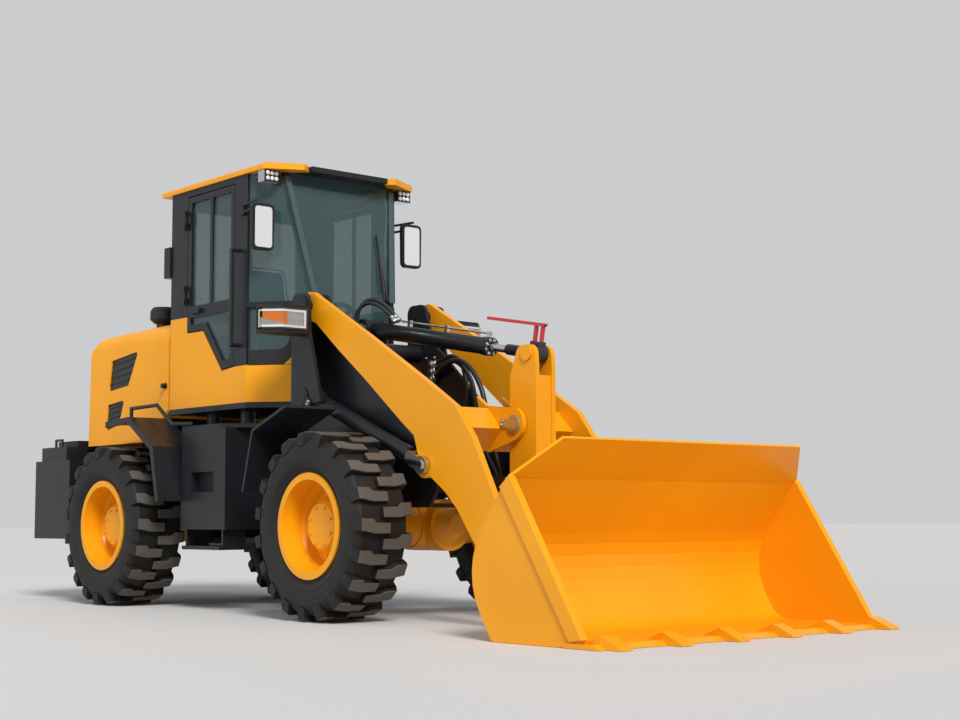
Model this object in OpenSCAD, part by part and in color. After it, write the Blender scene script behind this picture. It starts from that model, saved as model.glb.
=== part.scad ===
// Compact articulated wheel loader with a Z-bar bucket linkage.
// Measures are in millimetres. Stations along X are counted from the front axle,
// Y is left and Z is up from the ground; the last shift centres the machine.

/* [Wheels] */
// distance between the front and rear axles
wheelbase = 2690; // [2400:10:3000]
// distance between the tyre centres of one axle
track = 1592; // [1450:2:1800]
// radius of the tyres over the lugs
tyre_radius = 587.5; // [520:0.5:660]
// width of the tyres
tyre_width = 410; // [340:2:480]
// depth of the tread lugs
lug_depth = 34; // [20:1:45]
// width of a lug along the tread
lug_wide = 86; // [60:1:100]
// lugs in each of the two rows of a tyre
lug_count = 24; // [18:1:26]
// radius of the rim flange
rim_radius = 330; // [300:1:360]
// radius of the axle spindle in the wheel hub
spindle_radius = 60; // [45:1:75]

/* [Bucket] */
// station of the tooth tips
tooth_tip = 2834; // [2700:1:2950]
// station of the front of the cutting edge
edge_front = 2741; // [2650:1:2790]
// half width of the bucket over its side plates
bucket_half = 1165; // [1050:1:1250]
// thickness of the bucket floor and back
bucket_sheet = 20; // [12:1:30]
// thickness of the cutting edge
edge_thick = 25; // [16:1:40]
// station of the bucket hinge pins
hinge_x = 1560; // [1500:1:1600]
// height of the bucket hinge pins
hinge_z = 300; // [270:1:330]

/* [Boom] */
// station of the boom pivot
pivot_x = -640; // [-680:1:-600]
// height of the boom pivot
pivot_z = 2060; // [2000:1:2100]
// gap between a tyre and the boom arm beside it
arm_gap = 61; // [50:1:80]
// thickness of the boom arms
arm_thick = 45; // [35:1:50]
// station of the rocker pivot
rocker_x = 960; // [940:1:980]
// height of the rocker pivot
rocker_z = 1200; // [1180:1:1220]
// radius of the main linkage pins
pin_radius = 40; // [30:1:48]

/* [Frames] */
// station of the upright articulation axis
joint_x = -1345; // [-1400:1:-1290]
// rear overhang from the rear axle to the end of the counterweight
overhang = 1510; // [1400:1:1600]
// thickness of the front frame's side plates
frame_plate = 25; // [16:1:32]
// gap between a boom arm and the frame plate inside it
frame_gap = 55; // [50:1:70]
// half width of the counterweight
weight_half = 850; // [750:1:900]
// sheet thickness of the hood
hood_wall = 12; // [6:1:16]
// half width of the hood
hood_half = 620; // [560:1:640]

/* [Cab] */
// half width of the cab
cab_half = 640; // [600:1:650]
// thickness of the cab walls and doors
cab_wall = 40; // [30:1:50]
// height of the underside of the roof
roof_z = 3053; // [2950:1:3120]
// thickness of the roof
roof_thick = 45; // [30:1:70]

/* [Clearances] */
// radial play of a pin in its bore
pin_play = 0.05; // [0.02:0.01:0.1]
// gap between the panes and the cab posts
seal_gap = 0.4; // [0.3:0.1:1]
// gap beside a moving plate
side_play = 7; // [5:0.5:10]

/* [Hidden] */
$fn = 48;
paint = [0.93, 0.66, 0.08];
dark = [0.2, 0.22, 0.25];
black = [0.06, 0.06, 0.07];
chrome = [0.8, 0.8, 0.82];
glass_tint = [0.3, 0.4, 0.48];
lamp = [0.9, 0.9, 0.85];
red = [0.8, 0.08, 0.06];
back = -wheelbase;
tail_x = back - overhang;
tow_x = tail_x - 90;
shift_x = -(tooth_tip + tow_x) / 2;
half_track = track / 2;
arm_outer = half_track - tyre_width / 2 - arm_gap;
arm_inner = arm_outer - arm_thick;
arm_mid = arm_inner + arm_thick / 2;
// pins of the linkage as station and height
lift_base = [-620, 1448];
lift_eye = [600, 955];
tilt_base = [-644, 1939];
tilt_eye = [1042, 1637];
link_low = [1050, 433];
link_eye = [1650, 550];
steer_base = [-1980, 330];
steer_eye = [-1130, 300];
steer_z = 750;
rod_r = 25;
// tilt cylinder's barrel and gland
barrel_r = 55;
gland_r = 60;
hood_hinge = [back - 950, 1170];
door_hinge = [-2074, 657];
frame_out = arm_inner - frame_gap;
frame_in = frame_out - frame_plate;
yoke_in = arm_outer + 35;
yoke_out = yoke_in + frame_plate;
// inner face of the rear frame's rails
rail_in = 420;
cab_in = cab_half - cab_wall;
lug_thick = 30;
post_half = 18;
column_top = 680;
rail_r = 14;
// outer edge of the fenders
fender_out = half_track + 189;
// heights of the door's two hinges
door_knuckles = [2200, roof_z - 293];
window_top = roof_z - 103;
rocker_in = 52;
rocker_out = rocker_in + lug_thick;
// half width of the tilt cylinder's base eye
eye_half = 54;
// end of the bucket's floor sheet under the cutting edge
floor_end = 2495;

function unit(v) = v / norm(v);
function xy(p) = [p[0], p[1]];
function corner(p0, p1, p2) = p1[2] == undef || p1[2] == 0 ? [xy(p1)] :
  let(a = unit(xy(p0) - xy(p1)), b = unit(xy(p2) - xy(p1)), h = acos(a * b) / 2,
      c = xy(p1) + unit(a + b) * p1[2] / sin(h), s = xy(p1) + a * p1[2] / tan(h) - c,
      e = xy(p1) + b * p1[2] / tan(h) - c, a0 = atan2(s[1], s[0]),
      d = (atan2(e[1], e[0]) - a0 + 540) % 360 - 180, n = max(2, ceil(abs(d) / 12)))
  [for (k = [0:n]) c + p1[2] * [cos(a0 + d * k / n), sin(a0 + d * k / n)]];
function outline(p) = [for (i = [0:len(p) - 1])
  each corner(p[(i + len(p) - 1) % len(p)], p[i], p[(i + 1) % len(p)])];

// plate in the XZ plane between two Y values
module plate(y0, y1) translate([0, y1, 0]) rotate([90, 0, 0]) linear_extrude(y1 - y0) children();
module shape(p) polygon(outline(p));
module both() { children(); mirror([0, 1, 0]) children(); }
module box(a, b) translate(a) cube(b - a);
module across(x, z, y0, y1, r) translate([x, y1, z]) rotate([90, 0, 0]) cylinder(h = y1 - y0, r = r);
module upright(x, y, z0, z1, r) translate([x, y, z0]) cylinder(h = z1 - z0, r = r);
module along(p, q, y = 0) translate([p[0], y, p[1]])
  rotate([0, -atan2(q[1] - p[1], q[0] - p[0]), 0]) children();
module lengthwise(u0, u1, r) translate([u0, 0, 0]) rotate([0, 90, 0]) cylinder(h = u1 - u0, r = r);
module tube(p, q, r) {
  d = q - p;
  translate(p) rotate([0, acos(d[2] / norm(d)), atan2(d[1], d[0])]) cylinder(h = norm(d), r = r, $fn = 20);
}
module wheel_at(x, side) translate([x, side * half_track, tyre_radius])
  mirror([0, side < 0 ? 1 : 0, 0]) rotate([-90, 0, 0]) children();

// carcass of the tyre with two staggered rows of stepped lugs
module tyre(x, side) color(black) wheel_at(x, side) {
  half = tyre_width / 2;
  base = tyre_radius - lug_depth;
  rotate_extrude($fn = 72) polygon(outline([[303, -165], [345, -165, 8], [400, -half, 60], [500, -half, 50],
    [base, -half + 50, 20], [base, half - 50, 20], [500, half, 50], [400, half, 60],
    [345, 165, 8], [303, 165]]));
  for (k = [0:lug_count - 1]) {
    rotate(k * 360 / lug_count) lug(half - 2);
    rotate((k + 0.5) * 360 / lug_count) mirror([0, 0, 1]) lug(half - 2);
  }
}
// one lug, wide at the shoulder and stepped towards the middle of the tread
module lug(end) {
  w = lug_wide / 2;
  top = sqrt(pow(tyre_radius, 2) - pow(w + 15, 2));
  rotate([0, 90, 0]) translate([0, 0, 500]) linear_extrude(top - 500)
    polygon([[-end, -w - 15], [-110, -w - 13], [-82, 13 - w], [28, 16 - w], [28, w + 10],
      [-90, w + 12], [-end, w - 8]]);
}

// dished rim with the planetary hub
module rim(x, side) color(paint) wheel_at(x, side) difference() {
  union() {
    rotate_extrude($fn = 72) polygon([[0, -60], [200, -60], [285, -60], [285, -180], [rim_radius, -180],
      [rim_radius, -165], [300, -165], [300, 165], [rim_radius, 165], [rim_radius, 180], [287, 180],
      [280, 30], [250, -30], [165, -30], [165, 50], [140, 80], [0, 80]]);
    for (a = [0:36:324]) rotate(a) translate([200, 0, -32]) cylinder(h = 28, r = 14, $fn = 6);
    for (a = [22.5:45:350]) rotate(a) translate([118, 0, 78]) cylinder(h = 14, r = 10, $fn = 6);
  }
  translate([0, 0, -61]) cylinder(h = 86, r = spindle_radius + pin_play);
}

// rigid axle with brake drums, spindles and the differential
module axle(x, pad_in) color(paint) {
  z = tyre_radius;
  both() {
    across(x, z, half_track - 156, half_track + 20, spindle_radius);
    across(x, z, half_track - 236, half_track - 68, 200);
    translate([x, 180, z]) rotate([-90, 0, 0]) cylinder(h = half_track - 411, r1 = 140, r2 = 85);
    box([x - 90, pad_in, z], [x + 90, pad_in + 70, 700]);
  }
  across(x, z, -182, 182, 150);
  translate([x - 210, 0, z]) rotate([0, 90, 0]) cylinder(h = 420, r = 165);
  translate([x + 205, 0, z]) rotate([0, 90, 0]) cylinder(h = 80, r1 = 140, r2 = 70);
}

module rear_frame() color(dark) difference() {
  union() {
    both() {
      plate(rail_in, rail_in + 30) shape([[back - 790, 760], [back - 210, 700], [-2060, 700], [-2060, 1050],
        [back - 790, 1050]]);
      plate(120, 150) polygon([[-2060, 455], [-1560, 455], [-1560, 1045], [-2060, 1045]]);
      box([-2110, 150, 1045], [-2010, 480, 1200]);
      box([-1650, 150, 1045], [-1550, 480, 1200]);
      upright(-2060, 400, 1199, 1400, 55);
      upright(-1600, 400, 1199, 1400, 55);
      for (z = [690, 790]) translate([0, 0, z]) linear_extrude(20)
        polygon([[-2060, 270], [-2000, 270], [-1945, 300], [-1945, 360], [-2000, 390], [-2060, 390]]);
      upright(steer_base[0], steer_base[1], 680, 820, rod_r);
    }
    box([-2085, -rail_in - 30, 455], [-2060, rail_in + 30, 1050]);
    box([-2110, -150, 1045], [-2010, 150, 1200]);
    box([-1650, -150, 1045], [-1550, 150, 1200]);
    for (x = [-560, 40]) box([back + x, -rail_in, 950], [back + x + 80, rail_in, 1050]);
    for (z = [455, 555, 905, 1005]) translate([0, 0, z]) linear_extrude(40)
      polygon(concat([[-2060, -400], [-1900, -400], [-1560, -150]],
        [for (a = [-90:15:90]) [joint_x + 120 * cos(a), 120 * sin(a)]],
        [[-1560, 150], [-1900, 400], [-2060, 400]]));
    upright(joint_x, 0, 440, 610, 45);
    upright(joint_x, 0, 890, 1060, 45);
  }
}

module rear_axle() axle(back, rail_in - 25);
module front_axle() axle(0, frame_in - 10);

module tail_lamps() color(red) both() box([tail_x - 16, 560, 940], [tail_x, 700, 1020]);

module engine() color(dark) {
  box([back - 660, -280, 1050], [back + 120, 280, 1800]);
  box([back + 119, -280, 1050], [back + 210, 280, 1500]);
  box([back + 210, -230, 760], [-2110, 230, 1350]);
}

module counterweight() color(dark) difference() {
  union() {
    intersection() {
      translate([0, 0, 480]) linear_extrude(620)
        polygon([[back - 790, -weight_half], [tail_x + 120, -weight_half],
        [tail_x, -760], [tail_x, 760], [tail_x + 120, weight_half], [back - 790, weight_half]]);
      plate(-weight_half, weight_half) shape([[back - 790, 480], [tail_x, 480, 90],
        [tail_x, 1100, 40], [back - 790, 1100]]);
    }
    box([tail_x + 40, -760, 1080], [back - 1030, 760, 1215]);
    box([tail_x + 90, -640, 1080], [back - 1070, 640, 1267]);
    both() {
      box([hood_hinge[0] - 32, 360, 1090], [hood_hinge[0] + 32, 387, 1198]);
      across(hood_hinge[0], hood_hinge[1], 380, 436, 15);
    }
    for (z = [640, 720]) box([tow_x, -70, z], [tail_x + 10, 70, z + 30]);
  }
  upright(tow_x + 45, 0, 600, 800, 21);
}

// plan of the cab with chamfered front corners
cab_plan = [[-2300, -cab_half], [-1250, -cab_half], [-882, -338], [-882, 338], [-1250, cab_half],
  [-2300, cab_half]];
module cab_floor() color(dark) translate([0, 0, 1400]) linear_extrude(40) polygon(cab_plan);

module cab_pillars() color(dark) {
  difference() {
    box([-2300, -cab_half, 2110], [-2260, cab_half, roof_z]);
    box([-2310, -470, 2200], [-2250, 470, window_top]);
  }
  both() {
    box([-2260, cab_in, 2110], [-2065, cab_half, roof_z]);
    box([-1411, cab_in, 1700], [-1250, cab_half, roof_z]);
    box([-2065, cab_in, roof_z - 45], [-1411, cab_half, roof_z]);
    for (z = door_knuckles) {
      upright(door_hinge[0], door_hinge[1], z, z + 140, 8);
      for (k = [0, 105]) box([-2092, 639, z + k], [-2060, 672, z + k + 35]);
    }
  }
  both() box([-2385, 560, roof_z - 620], [-2300, 655, roof_z - 390]);
  cab_posts(post_half);
}
// front posts and the rail between the quarter panes
module cab_posts(r) both() {
  post([-882, 338, 1458], [-882, 338, 2190], r);
  post([-882, 338, 2190], [-1055, 460, roof_z - post_half - seal_gap], r);
  post([-1250, 622, 2120], [-882, 345, 2120], r);
}
module post(a, b, r) hull() {
  translate(a) cube(2 * r, center = true);
  translate(b) cube(2 * r, center = true);
}

module cab_panels() color(paint) {
  both() {
    plate(cab_in, cab_half) polygon([[-2300, 1440], [-1250, 1440], [-1250, 1700], [-1411, 1697],
      [-1578, 1680], [-1838, 1988], [-2065, 1990], [-2065, 2110], [-2300, 2110]]);
  }
  box([-2300, -cab_in, 1440], [-2260, cab_in, 2110]);
  both() translate([0, 0, 1440]) linear_extrude(255)
    polygon([[-1250, cab_in], [-1250, cab_half], [-902, 354], [-927, 335]]);
  box([-900, -318, 1440], [-870, 318, 1760]);
}

roof_edge = [[-2430, 656], [-1030, 656], [-900, 400], [-950, 330], [-1105, 500], [-2430, 500]];
module cab_roof() color(paint) both() difference() {
  translate([0, 0, roof_z]) linear_extrude(roof_thick) polygon(roof_edge);
  translate([-2500, 656, roof_z + roof_thick]) rotate([45, 0, 0]) box([0, -12, -12], [2000, 12, 12]);
}
// dark visor and roof skin between the yellow rails
module roof_panel() color(black) translate([0, 0, roof_z]) difference() {
  linear_extrude(roof_thick - 8) polygon(concat([[-2430, 500], [-1105, 500], [-950, 330], [-905, 330]],
    [[-905, -330], [-950, -330], [-1105, -500], [-2430, -500]]));
  translate([0, 0, -1]) linear_extrude(14)
    polygon([[-2200, -420], [-1200, -420], [-1200, 420], [-2200, 420]]);
}

module cab_glass() color(glass_tint) {
  g = seal_gap;
  box([-2285, g - 470, 2200 + g], [-2275, 470 - g, window_top - g]);
  difference() {
    union() {
      pane([-882, -325, 2100], [-882, 325, 2100], [-1050, 450, roof_z - 5], [-1050, -450, roof_z - 5]);
      box([-888, -330, 1760], [-876, 330, 2101]);
      both() {
        pane([-1246, 622, 2142], [-895, 340, 2142], [-1062, 458, roof_z - 5], [-1246, 622, roof_z - 5]);
        pane([-1246, 622, 1700], [-895, 340, 1700], [-895, 340, 2098], [-1246, 622, 2098]);
      }
    }
    cab_posts(post_half + seal_gap);
  }
}
// flat sheet between four corners
module pane(a, b, c, d) hull() for (p = [a, b, c, d]) translate(p) cube([6, 6, 6], center = true);

module seat() color(black) {
  box([-1980, -160, 1440], [-1660, 160, 1800]);
  box([-2040, -240, 1800], [-1560, 240, 1920]);
  plate(-230, 230) shape([[-2040, 1920], [-1920, 1920], [-2060, 2560, 40], [-2160, 2560, 40]]);
}

module steering_column() color(black) translate([-1080, 0, 1440]) {
  box([-60, -60, 0], [60, 60, 60]);
  rotate([0, -11.5, 0]) upright(0, 0, 20, column_top, 42);
}
// three-spoked wheel whose hub sits on the column
module steering_wheel() color(black) translate([-1080, 0, 1440]) rotate([0, -11.5, 0])
  translate([0, 0, column_top + seal_gap]) {
    upright(0, 0, 0, 26, 48);
    translate([0, 0, 10]) {
      rotate_extrude($fn = 48) translate([185, 0]) circle(r = 16, $fn = 20);
      for (a = [0, 120, 240]) rotate(a) box([40, -14, -8], [184, 14, 8]);
    }
  }

// instrument cowl on the floor in front of the column
module dash_panel() color(black) translate([-1080, 0, 1440]) plate(-290, 290)
  shape([[62, 0], [170, 0], [172, 310], [140, 430, 40], [50, 400, 30], [80, 300], [62, 60]]);

// bent fender sheet with a folded outer lip
module rear_fenders() color(dark) translate([back, 0, 0]) both() {
  plate(640, fender_out) polygon([[50, 1354], [397, 1375], [761, 1150], [850, 760], [830, 760], [743, 1138],
    [392, 1355], [50, 1334]]);
  plate(fender_out - 25, fender_out)
    polygon([[50, 1354], [397, 1375], [761, 1150], [850, 760], [812, 760], [720, 1126],
    [386, 1330], [50, 1310]]);
}

module platforms() color(dark) both() {
  difference() {
    box([back + 850, 480, 560], [-1250, 800, 1260]);
    box([-1700, 740, 820], [-1400, 801, 960]);
  }
  translate([0, 0, 1260]) linear_extrude(30)
    polygon([[back + 850, 480], [-1100, 480], [-1100, 590], [-1324, 800], [back + 850, 800]]);
  box([back + 890, 560, 420], [-1300, 810, 446]);
  box([back + 890, 600, 440], [back + 910, 780, 562]);
  box([-1320, 600, 440], [-1300, 780, 562]);
}

// welded bend in a rail
module bend(at, r) translate(at) sphere(r = r + 1, $fn = 24);
module handrails() color(black) both() {
  for (k = [0:len(rail_path) - 2]) tube(rail_path[k], rail_path[k + 1], rail_r);
  for (k = [1:len(rail_path) - 2]) bend(rail_path[k], rail_r);
  tube([-1360, 700, 1845], [-1360, 700, roof_z - 536], rail_r);
  for (z = [1845, roof_z - 536]) {
    bend([-1360, 700, z], rail_r);
    tube([-1360, cab_half, z], [-1360, 700, z], rail_r);
  }
  u_handle();
}
// lifting handle on the counterweight's upper block
module u_handle() translate([tail_x + 170, 700, 1215]) {
  for (x = [0, 110]) upright(x, 0, 0, 60, 10);
  for (x = [0, 110]) bend([x, 0, 60], 10);
  tube([0, 0, 60], [110, 0, 60], 10);
}
// bent rail over the rear fender, down to the platform
rail_path = [[back + 290, 900, 1369.8], [back + 290, 900, 1445], [back + 665, 900, 1450],
  [back + 840, 870, 1291 + rail_r + seal_gap], [back + 960, 780, 1291 + rail_r + seal_gap]];

module mirrors() color(black) both() {
  box([-1320, cab_half, roof_z - 293], [-1270, cab_half + 24, roof_z - 213]);
  for (z = [273, 223]) tube([-1290, cab_half + 15, roof_z - z], [-1062, cab_half + 50, roof_z - z], 9);
  translate([-1060, cab_half - 640, roof_z]) rotate([90, 0, 90]) linear_extrude(30)
    shape([[565, -573, 35], [738, -573, 35], [742, -248, 35], [560, -248, 35]]);
}

module work_lights() color(lamp) both() box([-1120, 520, roof_z - 85], [-1040, 640, roof_z]);

// hood and grilles are drawn from the rear axle
hinge_back = hood_hinge[0] - back;
grille_high = [[-562, 1877, 20], [-134, 1924, 20], [-287, 1665, 20], [-603, 1637, 20]];
grille_low = [[-615, 1532, 20], [-349, 1557, 20], [-425, 1370, 20], [-642, 1323, 20]];
// hood body with rounded shoulders, drawn in by a wall thickness
module hood_form(t) intersection() {
  plate(t - hood_half, hood_half - t) shape([[-930 + 1.1 * t, 1215 - 1.2 * t], [90 + 0.5 * t, 1215 - 1.2 * t],
    [345 - t, 1433 - 0.5 * t], [345 - t, 2110 - t, 60 - t], [-760 + 0.2 * t, 2070 - t, 90 - t],
    [-910 + t, 1960 - 0.5 * t, 60 - t]]);
  translate([-1010, 0, 0]) rotate([90, 0, 90]) linear_extrude(1500) shape([[t - hood_half, 1100],
    [hood_half - t, 1100], [hood_half - t, 2110 - t, 130 - t], [t - hood_half, 2110 - t, 130 - t]]);
}
module hood() color(paint) translate([back, 0, 0]) difference() {
  union() {
    difference() {
      hood_form(0);
      hood_form(hood_wall);
    }
    both() {
      plate(395, 420) {
        polygon([[-978, hood_hinge[1]], [-922, hood_hinge[1]], [-922, 1290], [-978, 1200]]);
        translate([hinge_back, hood_hinge[1]]) circle(r = 28);
      }
      plate(hood_half - 1, hood_half + 7) shape([[-310, 1225], [85, 1225], [338, 1442], [338, 1640],
        [130, 1630, 60], [-270, 1400, 60]]);
      plate(hood_half - 1, hood_half + 7) shape([[260, 1600], [338, 1600], [338, 1990], [260, 1990]]);
    }
  }
  both() {
    across(hinge_back, hood_hinge[1], 380, 430, 15 + pin_play);
    plate(hood_half - 20, hood_half + 10) {
      shape(grille_high);
      shape(grille_low);
    }
  }
  box([-1010, -430, 1330], [-810, 430, 1880]);
}
// perforated sheets behind the side openings and slats across the rear opening
module hood_grilles() color(black) translate([back, 0, 0]) {
  inner = hood_half - hood_wall - seal_gap;
  both() {
    plate(inner - 4, inner) {
      shape([[-590, 1900, 20], [-100, 1950, 20], [-265, 1640, 20], [-630, 1610, 20]]);
      shape([[-645, 1560, 20], [-315, 1590, 20], [-405, 1345, 20], [-670, 1300, 20]]);
    }
    for (k = [0:3]) {
      plate(inner - 1, inner + 7) polygon([[-590 + 14 * k, 1690 + 50 * k], [-300 + 30 * k, 1712 + 54 * k],
        [-300 + 30 * k, 1722 + 54 * k], [-590 + 14 * k, 1700 + 50 * k]]);
      plate(inner - 1, inner + 7) polygon([[-626 + 8 * k, 1372 + 42 * k], [-440 + 18 * k, 1400 + 42 * k],
        [-440 + 18 * k, 1410 + 42 * k], [-626 + 8 * k, 1382 + 42 * k]]);
    }
  }
  translate([-930, 0, 1215]) rotate([0, 1.5, 0]) {
    box([hood_wall + 1.8, -450, 95], [hood_wall + 10, 450, 640]);
    for (k = [0:9]) translate([hood_wall + 4, 0, 140 + 54 * k]) rotate([0, 30, 0])
      box([-26, -420, -5], [6, 420, 5]);
  }
}
module intake_cap() color(black) translate([back, 0, 0]) difference() {
  translate([-130, -400, 0]) {
    upright(0, 0, 2000, 2160, 60);
    translate([0, 0, 2150]) rotate_extrude()
      polygon([[0, 0], [75, 0], [110, 30], [110, 95], [90, 125], [0, 135]]);
  }
  hood_form(0);
}

door_shape = [[-2058, roof_z - 53], [-1417, roof_z - 53], [-1417, 1706], [-1572, 1690],
  [-1832, 1998], [-2058, 2000]];
pane_shape = [[-2010, roof_z - 98], [-1465, roof_z - 98], [-1465, 1760], [-1560, 1752],
  [-1800, 2050], [-2010, 2052]];
module door_right() color(dark) difference() {
  union() {
    plate(-cab_half, -cab_in) difference() {
      polygon(door_shape);
      polygon(pane_shape);
    }
    box([-1750, -cab_half, 2150], [-1715, -628, roof_z - 90]);
    box([-2015, -cab_half, 2100], [-1460, -628, 2185]);
    for (x = [-1985, -1875]) box([x, -cab_half - 20, 2125], [x + 14, -cab_half + 1, 2160]);
    box([-1985, -cab_half - 26, 2125], [-1861, -cab_half - 14, 2160]);
    for (z = door_knuckles) {
      upright(door_hinge[0], -door_hinge[1], z + 42, z + 98, 15);
      box([door_hinge[0], -652, z + 42], [-2012, -641, z + 98]);
      box([-2052, -642, z + 42], [-2012, -639, z + 98]);
    }
  }
  for (z = door_knuckles) upright(door_hinge[0], -door_hinge[1], z + 30, z + 110, 8 + pin_play);
}
module door_right_glass() color(glass_tint) plate(-626, -618) polygon(pane_shape);
module door_left() mirror([0, 1, 0]) door_right();
module door_left_glass() mirror([0, 1, 0]) door_right_glass();

module front_frame() color(dark) difference() {
  union() {
    both() {
      plate(frame_in, frame_out) shape([[-765, 480], [-765, 2143, 60], [-575, 2143, 60], [-500, 1880],
        [80, 1380], [500, 1010, 80], [600, 820, 60], [520, 700], [-600, 700], [-700, 480]]);
      plate(yoke_in, yoke_out)
        shape([[-765, 1380], [-765, 2143, 60], [-575, 2143, 60], [-560, 1865], [-420, 1400],
        [-700, 1380]]);
      box([-765, frame_out - 1, 1380], [-745, yoke_in + 1, 2080]);
      across(pivot_x, pivot_z, frame_in + 5, yoke_out + 12, pin_radius);
      across(lift_base[0], lift_base[1], frame_in + 5, yoke_out + 12, 35);
      plate(eye_half + side_play, eye_half + side_play + lug_thick) shape([[-718, 1800], [-620, 1800],
        [-574, 1939, 30], [-600, 2004, 40], [-680, 2004, 40], [-718, 1939]]);
      for (z = [690, 790]) translate([0, 0, z]) linear_extrude(20)
        polygon([[-780, 220], [-1100, 260], [-1165, 270], [-1165, 328], [-1100, 330], [-780, 320]]);
      for (z = [678, 809]) upright(steer_eye[0], steer_eye[1], z, z + 13, rod_r);
    }
    box([-790, -frame_out, 480], [-764, frame_out, 1200]);
    across(-655, 1790, -frame_in - 1, frame_in + 1, 60);
    box([-560, -frame_in - 1, 700], [-230, frame_in + 1, 725]);
    box([300, -frame_in - 1, 700], [520, frame_in + 1, 725]);
    box([540, -frame_in - 1, 790], [565, frame_in + 1, 900]);
    for (z = [505, 955]) translate([0, 0, z]) linear_extrude(40)
      polygon(concat([[-780, 350], [-1150, 140]],
        [for (a = [110:10:250]) [joint_x + 115 * cos(a), 115 * sin(a)]], [[-1150, -140], [-780, -350]]));
  }
  for (z = [500, 950]) upright(joint_x, 0, z, z + 50, 45 + pin_play);
  across(tilt_base[0], tilt_base[1], -100, 100, 35 + pin_play);
}

module front_fenders() color(dark) both() {
  plate(yoke_out, fender_out)
    polygon([[-727, 807], [-618, 1198], [-240, 1335], [-246, 1353], [-634, 1212], [-747, 807]]);
  box([-722, frame_out, 860], [-690, yoke_out + 2, 940]);
}

lamp_plan = [[-700, 640], [-490, 640], [-498, 840], [-590, 935], [-670, 935], [-700, 900]];
module headlamps() color(black) both() {
  translate([0, 0, 1850]) linear_extrude(185) polygon(lamp_plan);
  box([-690, yoke_out, 1852], [-600, 641, 1900]);
}
// clear covers across the front and the outer corner of the lamps
module headlamp_lenses() color(lamp) both() translate([0, 0, 1872]) linear_extrude(140)
  polygon([[-489.6, 655], [-497.5, 840.3], [-589.7, 935.5], [-640, 935.5], [-640, 944],
    [-585, 944], [-488, 843],
    [-480, 655]]);

module boom() color(paint) difference() {
  union() {
    both() {
      plate(arm_inner, arm_outer) {
        polygon([[-592, 2140], [-245, 1950], [25, 1803], [600, 1478], [893, 1303], [1048, 1109], [1231, 775],
          [1400, 530], [1612, 379], [1510, 219], [1290, 310], [1066, 485], [907, 689], [802, 787], [650, 890],
          [545, 995], [497, 1141], [373, 1229], [-12, 1524], [-298, 1731], [-566, 1939], [-680, 1975]]);
        translate([pivot_x, pivot_z]) circle(r = 95);
        translate([hinge_x, hinge_z]) circle(r = 95);
        translate(lift_eye) circle(r = 78);
      }
      plate(rocker_out + side_play, rocker_out + side_play + lug_thick) shape([[610, 1395], [700, 1330],
        [1010, 1300, 90], [1075, 1150, 100], [900, 1085, 60], [717, 1040]]);
    }
    translate([715, 0, 1180]) rotate([0, 45, 0]) cube([190, 2 * arm_inner + 1, 190], center = true);
  }
  across(pivot_x, pivot_z, -600, 600, pin_radius + pin_play);
  across(hinge_x, hinge_z, -600, 600, pin_radius + pin_play);
  across(rocker_x, rocker_z, -130, 130, pin_radius + pin_play);
}

module lift_barrels() color(dark) both() along(lift_base, lift_eye, arm_mid) difference() {
  union() {
    across(0, 0, -50, 50, 62);
    lengthwise(30, 1110, 50);
    lengthwise(1080, 1140, 54);
  }
  across(0, 0, -60, 60, 35 + pin_play);
  lengthwise(250, 1141, rod_r + pin_play);
}
module lift_rods() color(chrome) both() along(lift_base, lift_eye, arm_mid) {
  l = norm(lift_eye - lift_base);
  lengthwise(300, l - 150, rod_r);
  box([l - 160, -60, -40], [l - 120, 60, 40]);
  for (s = [-1, 1]) {
    box([l - 130, s > 0 ? 30 : -60, -40], [l, s > 0 ? 60 : -30, 40]);
    across(l, 0, s > 0 ? 30 : -60, s > 0 ? 60 : -30, 55);
    across(l, 0, s > 0 ? 59 : -72, s > 0 ? 72 : -59, 32);
  }
}

module rocker_pin() color(chrome) across(rocker_x, rocker_z, -130, 130, pin_radius);
module rocker() color(paint) difference() {
  union() {
    both() {
      plate(rocker_in, rocker_out) shape([[960, 1690, 60], [1110, 1690, 65], [1120, 1560], [1120, 900],
        [1130, 360, 75], [970, 360, 75], [880, 900], [885, 1500]]);
      across(tilt_eye[0], tilt_eye[1], rocker_out - 1, rocker_out + 14, 48);
    }
    box([1080, -53, 850], [1110, 53, 1500]);
  }
  across(rocker_x, rocker_z, -130, 130, pin_radius + pin_play);
  across(link_low[0], link_low[1], -130, 130, 30 + pin_play);
}
module link_pin() color(chrome) across(link_low[0], link_low[1], -90, 90, 30);
module bucket_link() color(paint) along(link_low, link_eye) difference() {
  l = norm(link_eye - link_low);
  h = rocker_in - side_play;
  union() {
    across(0, 0, -h, h, 62);
    across(l, 0, -h, h, 55);
    box([0, -h, -45], [l, h, 45]);
  }
  across(0, 0, -60, 60, 30 + pin_play);
}

module bucket_pins() color(chrome) both()
  across(hinge_x, hinge_z, arm_inner - 47, arm_outer + 48, pin_radius);

bucket_outer = [[floor_end, 0], [1948, 0, 40], [1717, 360, 366], [2068, 843], [2104, 852]];
bucket_inner = [[floor_end, bucket_sheet], [1956, bucket_sheet, 150],
  [1717 + 1.225 * bucket_sheet, 359, 366 - bucket_sheet], [2100, 854]];
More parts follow.
